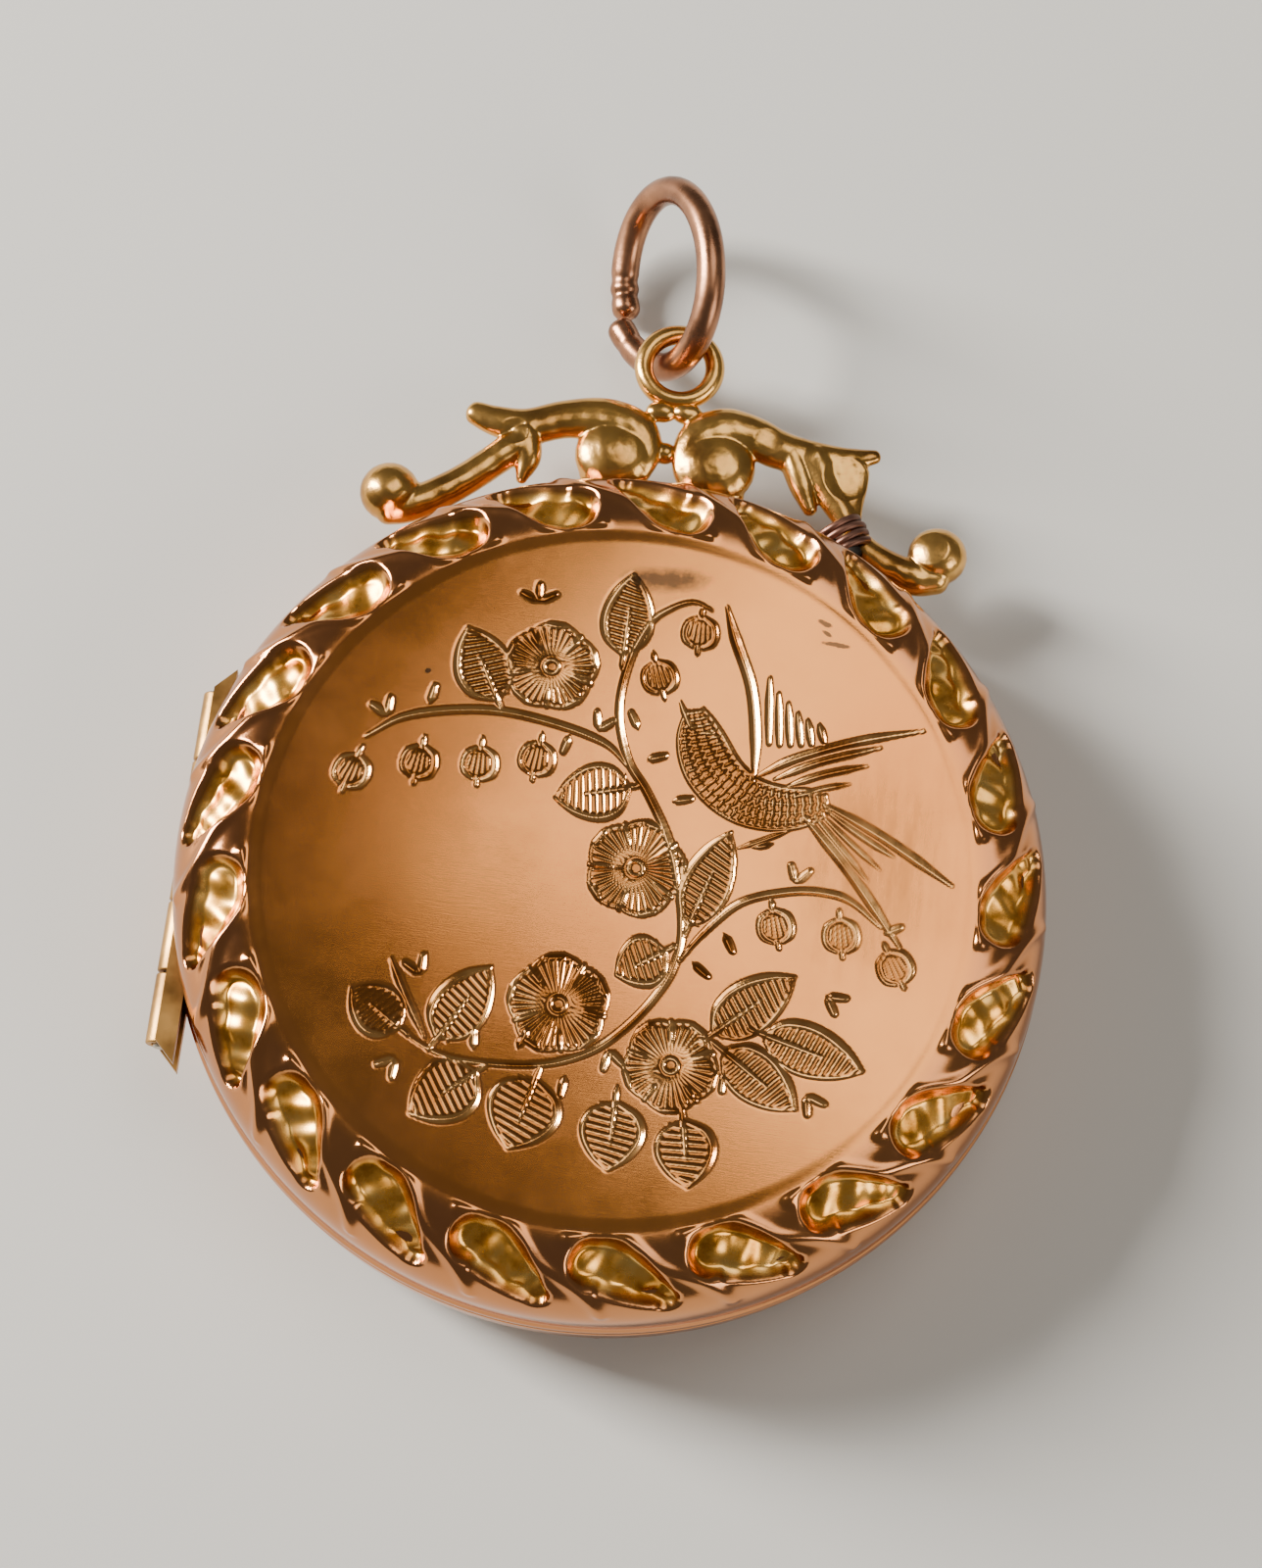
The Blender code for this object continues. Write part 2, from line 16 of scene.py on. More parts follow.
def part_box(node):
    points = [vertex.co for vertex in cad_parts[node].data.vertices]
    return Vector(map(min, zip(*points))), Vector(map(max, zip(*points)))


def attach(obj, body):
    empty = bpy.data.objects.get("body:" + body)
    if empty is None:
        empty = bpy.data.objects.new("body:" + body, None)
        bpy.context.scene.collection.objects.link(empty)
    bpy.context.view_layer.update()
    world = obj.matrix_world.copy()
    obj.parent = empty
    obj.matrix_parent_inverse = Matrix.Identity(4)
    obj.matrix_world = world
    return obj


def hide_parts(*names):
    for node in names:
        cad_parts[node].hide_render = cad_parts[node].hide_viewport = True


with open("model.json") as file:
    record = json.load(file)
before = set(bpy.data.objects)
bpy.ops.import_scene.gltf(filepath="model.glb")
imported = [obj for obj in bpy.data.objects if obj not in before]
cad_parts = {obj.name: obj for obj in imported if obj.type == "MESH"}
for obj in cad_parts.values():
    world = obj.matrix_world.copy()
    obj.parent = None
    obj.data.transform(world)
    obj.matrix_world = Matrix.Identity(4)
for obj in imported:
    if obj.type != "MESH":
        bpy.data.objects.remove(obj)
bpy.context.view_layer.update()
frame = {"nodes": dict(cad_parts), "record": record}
MM = 0.001

# ---- sizes read from the frame ------------
def node_box(name):
    low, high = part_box(name)
    return np.array(low) / MM, np.array(high) / MM


BACK_LOW, BACK_HIGH = node_box("back_cover")
FRONT_LOW, FRONT_HIGH = node_box("front_cover")
CASE_R = FRONT_HIGH[0]
PART_Z = (BACK_HIGH[2] + FRONT_LOW[2]) / 2
HALF_T = PART_Z - BACK_LOW[2]
DOME = FRONT_HIGH[2] - PART_Z - HALF_T
JOINTS = {joint["name"]: joint for joint in frame["record"]["behaviour"]["joints"]}
HINGE_X = JOINTS["lid_hinge"]["pos_m"][0] / MM
RING_HOOK = Vector(JOINTS["jump_ring_swing"]["pos_m"]) / MM
RING_AXIS = Vector(JOINTS["jump_ring_swing"]["axis"]).normalized()

# ---- case shape ------------
PANEL_R = 11.6
EDGE_HALF = 0.25  # the panel's edge bends over this much on each side of PANEL_R
EDGE_DROP = 0.035
BORDER_R = 11.85  # where the border's curve starts
BORDER_LONG = 3.45  # the relief has faded out at this length along the curve
BORDER_MIDDLE = 1.25
SKIRT_D = 1.3
RELIEF = 0.10  # the border stands this far inside the CAD skin, so that its lips reach it
LOBES = 21
TURN_STEPS = LOBES * 50
PITCH = 2 * math.pi / LOBES
LOBE_RING = 13.0
LOBE_PHASE = math.radians(89.5)
HOLLOW_DEEP = 0.50
HOLLOW_FULL = 0.60  # the half width from which a hollow has its whole depth
LIP_HIGH = 0.095
LIP_WIDE = 0.20
LIP_REACH = 1.2

BODY_BACK = "back_half"
BODY_LID = "lid"
BODY_RING = "ring"


# ---- mesh helpers ------------
def add_object(name, data):
    obj = bpy.data.objects.new(name, data)
    bpy.context.scene.collection.objects.link(obj)
    return obj


def make(name, points, faces, material, smooth=True, attributes=None):
    """A mesh object in metres from points in millimetres; attributes are named point values."""
    mesh = bpy.data.meshes.new(name)
    points = np.asarray(points, dtype=np.float64) * MM
    mesh.from_pydata(points.tolist(), [], faces)
    shell = bmesh.new()
    shell.from_mesh(mesh)
    bmesh.ops.recalc_face_normals(shell, faces=shell.faces)
    shell.to_mesh(mesh)
    shell.free()
    for key, values in (attributes or {}).items():
        layer = mesh.attributes.new(key, "FLOAT", "POINT")
        layer.data.foreach_set("value", np.asarray(values, dtype=np.float32))
    if smooth:
        mesh.polygons.foreach_set("use_smooth", [True] * len(mesh.polygons))
    mesh.materials.append(material)
    return add_object(name, mesh)


def ring_faces(loops, count, closed=False):
    """Quads between consecutive rings of point numbers; a ring of one point is a pole."""
    faces = []
    pairs = list(zip(loops, loops[1:]))
    if closed:
        pairs.append((loops[-1], loops[0]))
    for low, high in pairs:
        if len(low) == len(high) == 1:
            continue
        for i, j in enumerate([*range(1, count), 0]):
            below = (low[0],) if len(low) == 1 else (low[i], low[j])
            above = (high[0],) if len(high) == 1 else (high[j], high[i])
            faces.append(below + above)
    return faces


def rounded(profile, radius, steps=4):
    """A closed profile with each corner rounded by up to radius."""
    out = []
    count = len(profile)
    for i in range(count):
        p = np.array(profile[i], float)
        a = np.array(profile[i - 1], float) - p
        b = np.array(profile[(i + 1) % count], float) - p
        la, lb = np.linalg.norm(a), np.linalg.norm(b)
        if p[0] == 0 or la == 0 or lb == 0:
            out.append(tuple(p))
            continue
        cut = min(radius, 0.45 * la, 0.45 * lb)
        start, end = p + a / la * cut, p + b / lb * cut
        for k in range(steps + 1):
            t = k / steps
            q = (1 - t) ** 2 * start + 2 * t * (1 - t) * p + t ** 2 * end
            out.append((max(0.0, float(q[0])), float(q[1])))
    return out


def lathe(name, profile, material, steps=192, spin=None):
    """A solid turned from a closed profile (radius, along), about Z or, with spin (x, z), about
    a line along Y there."""
    points, loops = [], []
    for radius, along in profile:
        count = 1 if radius == 0 else steps
        loops.append(list(range(len(points), len(points) + count)))
        for i in range(count):
            a = 2 * math.pi * i / steps
            c, s = radius * math.cos(a), radius * math.sin(a)
            points.append((c, s, along) if spin is None else (spin[0] + c, along, spin[1] + s))
    return make(name, points, ring_faces(loops, steps, True), material)


def smooth_path(knots, per_span):
    """A smooth line through the knots, with per_span points to a span."""
    knots = [np.array(k, float) for k in knots]
    ends = [2 * knots[0] - knots[1], *knots, 2 * knots[-1] - knots[-2]]
    out = []
    for i in range(1, len(ends) - 2):
        a, b, c, d = ends[i - 1 : i + 3]
        for step in range(per_span):
            t = step / per_span
            out.append(0.5 * (2 * b + (c - a) * t + (2 * a - 5 * b + 4 * c - d) * t * t
                              + (3 * b - a - 3 * c + d) * t ** 3))
    out.append(knots[-1])
    return np.array(out)


END_LONG = 0.8  # how far a tube's domed end stands out, over its radius


def tube(path, radii, sides, flat=1.0, up=(0, 0, 1)):
    """Points and faces of a tube with domed ends; flat scales it along up."""
    path = [Vector(p) for p in path]
    radii = [float(r) for r in radii]
    last = len(path) - 1
    points, loops = [], []

    def tangent(i):
        return (path[min(i + 1, last)] - path[max(i - 1, 0)]).normalized()

    def circle(centre, along, radius):
        side = along.cross(Vector(up)).normalized()
        lift = side.cross(along).normalized()
        loops.append(list(range(len(points), len(points) + sides)))
        for k in range(sides):
            a = 2 * math.pi * k / sides
            points.append(tuple(centre + radius * (side * math.cos(a) + lift * flat * math.sin(a))))

    def pole(i, outward):
        loops.append([len(points)])
        points.append(tuple(path[i] + outward * radii[i] * END_LONG))

    def dome(i, outward, angles):
        for a in np.radians(angles):
            centre = path[i] + outward * radii[i] * END_LONG * math.sin(a)
            circle(centre, tangent(i), radii[i] * math.cos(a))

    pole(0, -tangent(0))
    dome(0, -tangent(0), (65, 40, 20))
    for i in range(len(path)):
        circle(path[i], tangent(i), radii[i])
    dome(last, tangent(last), (20, 40, 65))
    pole(last, tangent(last))
    return points, ring_faces(loops, sides)


def noise(x, y, scale, seed):
    """Smooth values from -1 to 1 by summed sines with fixed directions."""
    rng = np.random.default_rng(seed)
    total = np.zeros_like(x)
    for _ in range(6):
        a, p = rng.uniform(0, 2 * math.pi, 2)
        f = rng.uniform(0.6, 1.6) / scale
        total += np.sin((x * math.cos(a) + y * math.sin(a)) * f * 2 * math.pi + p)
    return total / 6


# ---- carving ------------
CUT_SHARE = 0.30  # a cut's depth over its width: the sides of the V stand near 31 degrees
FULL_CUT = 0.07  # the depth that a material reads as a whole cut
DISH_EDGE = 0.16  # a scoop has its whole depth from this far inside its outline
HATCH_GAP = 0.22
LEAF_BOW = 0.80
RAYS = 36
PETALS = 5


def heading(a):
    return np.array((math.cos(a), math.sin(a)))


def left_of(along):
    return np.array((-along[1], along[0]))


class Carving:
    """Cut depth, dish depth and patina of an engraving at many points of a plane."""

    def __init__(self, x, y):
        self.x, self.y = x, y
        self.depth = np.zeros_like(x)
        self.dish = np.zeros_like(x)
        self.tone = np.zeros_like(x)

    def near(self, path, margin):
        low, high = path.min(0) - margin, path.max(0) + margin
        across = (self.x > low[0]) & (self.x < high[0])
        return np.nonzero(across & (self.y > low[1]) & (self.y < high[1]))[0]

    def stroke(self, knots, width, deep, taper=(0.25, 0.25), spans=6):
        """A V cut along a smooth line; taper is the relative width at its two ends."""
        if len(knots) > 2:
            path = smooth_path(knots, spans)
        else:
            path = np.linspace(knots[0], knots[-1], 4)
        t = np.linspace(0, 1, len(path))
        start, end = taper
        swell = np.minimum(start + (1 - start) * t * 4, end + (1 - end) * (1 - t) * 4)
        half = width / 2 * np.minimum(1.0, swell)
        idx = self.near(path, width)
        if not len(idx):
            return
        px, py = self.x[idx], self.y[idx]
        best = np.zeros(len(idx))
        for i in range(len(path) - 1):
            (ax, ay), (bx, by) = path[i], path[i + 1]
            dx, dy = bx - ax, by - ay
            length = dx * dx + dy * dy
            if length == 0:
                continue
            u = np.clip(((px - ax) * dx + (py - ay) * dy) / length, 0, 1)
            gap = np.hypot(px - ax - u * dx, py - ay - u * dy)
            w = half[i] + (half[i + 1] - half[i]) * u
            best = np.maximum(best, (1 - gap / w) * deep * (0.45 + 0.55 * w / (width / 2)))
        self.depth[idx] = np.maximum(self.depth[idx], best)

    def scoop(self, outline, deep):
        """A shallow dished area with darkened metal inside a closed outline."""
        outline = np.array(outline, float)
        idx = self.near(outline, 0.1)
        px, py = self.x[idx], self.y[idx]
        inside = np.zeros(len(idx), bool)
        edge = np.full(len(idx), 1e9)
        for (ax, ay), (bx, by) in zip(outline, np.roll(outline, -1, 0)):
            crosses = (ay > py) != (by > py)
            rise = by - ay if by != ay else 1e-9
            inside ^= crosses & (px < (bx - ax) * (py - ay) / rise + ax)
            dx, dy = bx - ax, by - ay
            u = np.clip(((px - ax) * dx + (py - ay) * dy) / max(dx * dx + dy * dy, 1e-9), 0, 1)
            edge = np.minimum(edge, np.hypot(px - ax - u * dx, py - ay - u * dy))
        soft = np.clip(edge / DISH_EDGE, 0, 1) * inside
        self.dish[idx] = np.maximum(self.dish[idx], deep * soft)
        self.tone[idx] = np.maximum(self.tone[idx], soft)

    def drop(self, x, y, angle, size=0.55, deep=0.09):
        """One wedge mark with its point at x, y."""
        a = math.radians(angle)
        tip = (x + size * math.cos(a), y + size * math.sin(a))
        self.stroke([(x, y), tip], size * 0.50, deep, (0.1, 0.8))

    def leaf(self, base, tip, width):
        """A dished leaf: one broad bright edge, one thin edge, slanting hatch and a midrib."""
        base, tip = np.array(base, float), np.array(tip, float)
        along = tip - base
        length = np.linalg.norm(along)
        along = along / length
        side = left_of(along)
        reach = width * 0.56
        share = np.linspace(0, 1, 15)
        bow = np.sin(math.pi * share ** LEAF_BOW) ** LEAF_BOW * reach
        rim = [base + along * length * t + side * b for t, b in zip(share, bow)]
        rim += [base + along * length * t - side * b for t, b in zip(share[::-1], bow[::-1])][1:-1]
        self.scoop(rim, 0.045)
        for hand, broad in ((-1, 0.20), (1, 0.32)):
            edge = [base + along * length * t + side * hand * b * 0.93 for t, b in zip(share, bow)]
            self.stroke(edge[::2], broad, CUT_SHARE * broad, (0.4, 0.4), 3)
        count = int(length / HATCH_GAP)
        for i in range(1, count):
            t = i / count
            wide = math.sin(math.pi * t ** LEAF_BOW) ** LEAF_BOW * reach * 0.80
            foot = base + along * (length * t - 0.10)
            ends = [foot - side * wide, foot + side * wide + along * 0.20]
            self.stroke(ends, 0.13, 0.045, (0.7, 0.7))
        midrib = [base - along * 0.5, base, base + along * length * 0.62]
        self.stroke(midrib, 0.22, 0.07, (0.4, 0.3))

    def flower(self, x, y, radius, turn):
        """A rosette of petals with dense rays round a raised eye."""
        middle = np.array((x, y))
        first = math.radians(turn)
        petal_step = 360 / PETALS
        around = np.radians(np.arange(0, 360, 6))
        lobes = 0.86 + 0.14 * np.abs(np.cos(PETALS / 2 * (around - first))) ** 0.6
        rim = [middle + radius * k * heading(a) for a, k in zip(around, lobes)]
        self.scoop(rim, 0.05)
        self.stroke([*rim, rim[0]], 0.15, 0.05, (1, 1), 1)
        for ray in range(RAYS):
            a = 2 * math.pi * ray / RAYS
            end = radius * (0.84 + 0.12 * abs(math.cos(PETALS / 2 * (a - first))))
            ends = [middle + heading(a) * radius * 0.26, middle + heading(a) * end]
            self.stroke(ends, 0.135, 0.045, (0.45, 0.9))
        for petal in range(PETALS):
            out = heading(math.radians(turn + petal_step / 2 + petal_step * petal))
            ends = [middle + out * radius * 0.45, middle + out * radius * 0.92]
            self.stroke(ends, 0.24, 0.08, (0.2, 1.0))
            out = heading(math.radians(turn + petal_step * petal))
            side = left_of(out)
            hem = middle + out * radius * 0.97
            ends = [hem - side * radius * 0.26, hem, hem + side * radius * 0.26]
            self.stroke(ends, 0.26, 0.09, (0.3, 0.3))
        eye = [middle + 0.24 * heading(a) for a in np.radians(np.arange(0, 361, 30))]
        self.stroke(eye, 0.16, 0.06, (1, 1), 2)

    def bud(self, x, y, angle):
        """A hanging bell on a short stalk."""
        out = heading(math.radians(angle))
        side = left_of(out)
        root = np.array((x, y), float)
        shape = ((0.20, 0.12), (0.42, 0.44), (0.80, 0.54), (1.12, 0.44), (1.30, 0.16))
        rim = [root + out * t + side * w for t, w in shape]
        rim += [root + out * t - side * w for t, w in shape[::-1]]
        self.scoop(rim, 0.045)
        for hand, broad in ((-1, 0.17), (1, 0.26)):
            edge = [root + out * t + side * hand * w for t, w in shape]
            self.stroke(edge, broad, 0.07, (0.5, 0.6), 3)
        for i in range(-2, 3):
            start = root + side * i * 0.13 + out * 0.34
            end = start + out * (0.80 - 0.05 * i * i) + side * i * 0.05
            self.stroke([start, end], 0.11, 0.04, (0.5, 0.6))
        self.stroke([root - out * 0.18, root + out * 0.28], 0.20, 0.07)
        self.drop(root[0] + 1.18 * out[0], root[1] + 1.18 * out[1], angle, 0.34, 0.07)


# The bird and the flower sprays, as lines of (x, y) on the face.
STEMS = (
    ((2.1, 9.3), (1.5, 9.5), (0.8, 9.2), (0.1, 8.5), (-0.4, 7.0), (-0.5, 5.3), (0.0, 3.7),
     (0.8, 2.6), (1.8, 0.8), (2.4, -1.6), (2.3, -3.0), (1.8, -4.1), (1.0, -5.2), (0.0, -6.1),
     (-1.4, -6.7), (-3.2, -6.9), (-4.7, -6.8), (-5.9, -6.3)),
    ((-8.6, 3.4), (-7.3, 4.3), (-5.0, 4.8), (-3.0, 4.7), (-0.9, 4.2), (0.1, 3.4)),
    ((2.4, -2.9), (3.1, -1.8), (4.2, -0.6), (5.8, 0.0), (7.0, 0.1), (7.8, -0.1), (8.8, -0.8)),
    ((-6.7, -3.9), (-6.1, -5.0), (-5.3, -6.3)),
)
FLOWERS = ((-2.9, 6.6, 1.5, 90), (0.7, 0.1, 1.6, 75), (-1.2, -4.7, 1.6, 100), (2.6, -6.2, 1.5, 60))
LEAVES = (
    ((-4.5, 5.2), (-5.8, 7.6), 1.7), ((-0.6, 7.3), (-0.6, 10.2), 1.5),
    ((0.2, 2.8), (-2.2, 2.1), 1.7), ((2.6, -1.6), (3.6, 1.7), 1.4),
    ((2.0, -2.5), (0.5, -3.5), 1.5), ((3.8, -5.0), (6.2, -2.8), 1.5),
    ((5.4, -4.8), (8.7, -5.6), 1.5), ((4.2, -5.5), (6.7, -7.1), 1.5),
    ((-4.9, -6.3), (-3.5, -3.8), 1.6), ((-6.1, -6.1), (-7.8, -5.0), 1.5),
    ((-3.5, -7.2), (-5.4, -8.8), 1.8), ((-1.6, -7.2), (-2.2, -9.5), 2.1),
    ((1.0, -7.6), (1.0, -9.8), 1.8), ((3.2, -7.9), (3.6, -10.0), 1.7),
)
BUDS = ((-8.7, 2.9, 255), (-6.7, 3.5, 265), (-4.8, 3.7, 270), (-2.9, 4.1, 265), (0.4, 7.4, 290),
        (1.8, 9.2, 270), (5.2, -0.5, 285), (7.4, -0.5, 280), (9.0, -1.4, 300))
SPRIGS = (
    (-3.6, 8.8, 95, 3), (-8.0, 4.2, 120, 2), (-6.7, 4.8, 80, 1), (-1.1, 4.6, 70, 2),
    (-2.0, 4.3, 255, 1), (0.2, 4.8, 120, 1), (0.6, 3.8, 20, 1), (1.6, 2.5, 15, 1),
    (5.9, 0.3, 80, 2), (3.8, -1.7, 300, 1), (2.9, -2.8, 325, 1), (7.3, -3.3, 330, 2),
    (8.9, -1.0, 30, 1), (7.0, -6.6, 310, 2), (4.3, -6.2, 270, 1), (0.6, -6.0, 290, 2),
    (-0.7, -7.0, 265, 1), (-5.7, -4.3, 120, 2), (-6.1, -7.1, 235, 2), (-3.7, -6.5, 95, 1),
    (-2.3, -6.3, 70, 1),
)
BIRD = (
    (((4.15, 3.5), (4.05, 5.0), (3.7, 6.8), (3.0, 8.4), (2.6, 9.5)), 0.40),
    (((4.2, 3.7), (5.4, 4.5), (7.4, 5.4), (9.6, 6.1)), 0.34),
    (((4.8, 3.7), (6.2, 4.5), (8.2, 5.3)), 0.30), (((5.2, 3.5), (6.4, 4.1), (7.8, 4.6)), 0.28),
    (((5.5, 3.2), (6.4, 3.6), (7.3, 3.9)), 0.22), (((6.5, 3.1), (8.6, 2.2), (11.0, 0.9)), 0.36),
    (((6.6, 2.9), (7.8, 2.2), (9.0, 1.6)), 0.26), (((5.9, 2.6), (7.6, 0.9), (9.5, -1.4)), 0.38),
    (((6.3, 2.6), (7.2, 1.7), (8.2, 0.7)), 0.26), (((6.5, 2.7), (7.5, 1.9), (8.6, 1.1)), 0.22),
    (((3.9, 1.2), (4.7, 1.6), (5.6, 2.1)), 0.22), (((4.4, 1.3), (5.0, 1.5)), 0.26),
    (((1.45, 5.95), (1.75, 5.35), (2.0, 5.0)), 0.22),
)
WING_FEATHERS = ((4.50, 7.2, 4.9), (4.85, 6.7, 4.9), (5.20, 6.4, 4.95), (5.55, 6.1, 5.0),
                 (5.90, 5.9, 5.05), (6.3, 5.8, 5.2))
BIRD_SPINE = ((1.95, 5.75, 0.28), (2.15, 5.10, 0.66), (2.45, 4.30, 0.86), (3.05, 3.45, 0.90),
              (4.05, 2.85, 0.84), (5.15, 2.75, 0.74), (6.05, 2.95, 0.60), (6.7, 3.15, 0.34))
SCALE_ROWS = (-0.66, -0.22, 0.22, 0.66)
SCALE_GAP = 0.25


def bird(cut):
    """Scaled body, drawn as rows of short ticks along its length, then wings, tail and beak."""
    spine = smooth_path(BIRD_SPINE, 9)
    ahead = np.gradient(spine[:, :2], axis=0)
    ahead /= np.linalg.norm(ahead, axis=1)[:, None]
    side = np.stack([-ahead[:, 1], ahead[:, 0]], 1)
    rim = [*(spine[:, :2] + side * spine[:, 2:]), *(spine[:, :2] - side * spine[:, 2:])[::-1]]
    cut.scoop(rim, 0.04)
    for hand in (-1, 1):
        edge = spine[:, :2] + side * hand * spine[:, 2:] * 0.97
        cut.stroke(list(edge[::6]), 0.17, 0.06, (0.5, 0.5), 3)
    for row in SCALE_ROWS:
        line = spine[:, :2] + side * row * spine[:, 2:]
        cut.stroke(list(line[::6]), 0.09, 0.03, (0.5, 0.5), 3)
        steps = np.linalg.norm(np.diff(line, axis=0), axis=1)
        travelled = np.concatenate([[0], np.cumsum(steps)])
        for place in np.arange(0.1, travelled[-1], SCALE_GAP):
            k = int(np.searchsorted(travelled, place)) - 1
            half = spine[k, 2] * 0.17
            tick = line[k] + ahead[k] * (place - travelled[k])
            cut.stroke([tick - side[k] * half, tick + side[k] * half], 0.13, 0.055, (0.8, 0.8))
    for knots, width in BIRD:
        cut.stroke(knots, width, CUT_SHARE * width, (0.3, 0.2))
    for x, top, foot in WING_FEATHERS:
        cut.stroke([(x, foot), (x - 0.22, top)], 0.30, 0.09, (0.6, 0.4))
    cut.drop(2.35, 5.0, 0, 0.30, 0.09)


def engrave(x, y):
    """(cut depth, dish depth, patina) of the whole picture at points of the face."""
    cut = Carving(x, y)
    for knots in STEMS:
        cut.stroke(knots, 0.30, 0.095, (0.3, 0.3))
    for leaf in LEAVES:
        cut.leaf(*leaf)
    for flower in FLOWERS:
        cut.flower(*flower)
    for bud in BUDS:
        cut.bud(*bud)
    for sx, sy, angle, count in SPRIGS:
        for i in range(count):
            fan = (i - (count - 1) / 2) * 62
            cut.drop(sx, sy, angle + fan, 0.62)
    bird(cut)
    return cut.depth, cut.dish, cut.tone


# ---- border relief ------------
HOLLOW = ((0.80, -0.26, 0.98), (0.42, -0.20, 1.10), (-0.05, 0.05, 1.06), (-0.55, 0.42, 0.90),
          (-1.00, 0.78, 0.70), (-1.38, 1.08, 0.48))
LIP = ((1.75, -1.05), (1.20, -1.33), (0.55, -1.36), (-0.10, -1.10), (-0.72, -0.60),
       (-1.30, -0.12), (-1.95, 0.24), (-2.55, 0.62), (-3.00, 1.10), (-3.35, 1.70))


def line_gap(u, v, path):
    """Distance to a line of (u, v, value) points, and the value at the nearest place."""
    best = np.full(u.shape, 1e9)
    value = np.zeros(u.shape)
    for i in range(len(path) - 1):
        ax, ay, aw = path[i]
        bx, by, bw = path[i + 1]
        dx, dy = bx - ax, by - ay
        t = np.clip(((u - ax) * dx + (v - ay) * dy) / (dx * dx + dy * dy), 0, 1)
        gap = np.hypot(u - ax - t * dx, v - ay - t * dy)
        closer = gap < best
        best = np.where(closer, gap, best)
        value = np.where(closer, aw + (bw - aw) * t, value)
    return best, value


def border_relief(angle, along):
    """(height, hollow share) of the pressed border; along is the length out over its curve."""
    hollow_path = smooth_path(HOLLOW, 4)
    lip_path = smooth_path([(u, v, 0.0) for u, v in LIP], 4)
    lobe = np.round((angle - LOBE_PHASE) / PITCH)
    height = np.zeros(angle.shape)
    share = np.zeros(angle.shape)
    v = along - BORDER_MIDDLE
    for shift in (-1, 0, 1):
        u = -(angle - LOBE_PHASE - (lobe + shift) * PITCH) * LOBE_RING
        wrapped = np.mod(lobe + shift, LOBES)
        gap, half = line_gap(u, v, hollow_path)
        full = half / HOLLOW_FULL
        inside = np.clip(1 - (gap / half) ** 2, 0, 1)
        bowl = np.clip(inside * 1.30, 0, 1)
        bowl = bowl * bowl * (3 - 2 * bowl)
        facet = (0.07 * np.sin(2.6 * u + 1.7 * v + 2.4 * wrapped)
                 + 0.04 * np.sin(5.1 * u - 3.0 * v + wrapped))
        height -= (HOLLOW_DEEP + facet) * bowl * np.clip(full, 0.25, 1.0)
        share = np.maximum(share, np.clip((inside - 0.20) * 3.5, 0, 1) * np.clip(full, 0, 1))
        gap, _ = line_gap(u, v, lip_path)
        height += LIP_HIGH * np.where(gap < LIP_REACH, np.exp(-(gap / LIP_WIDE) ** 2), 0.0)
    return height, share


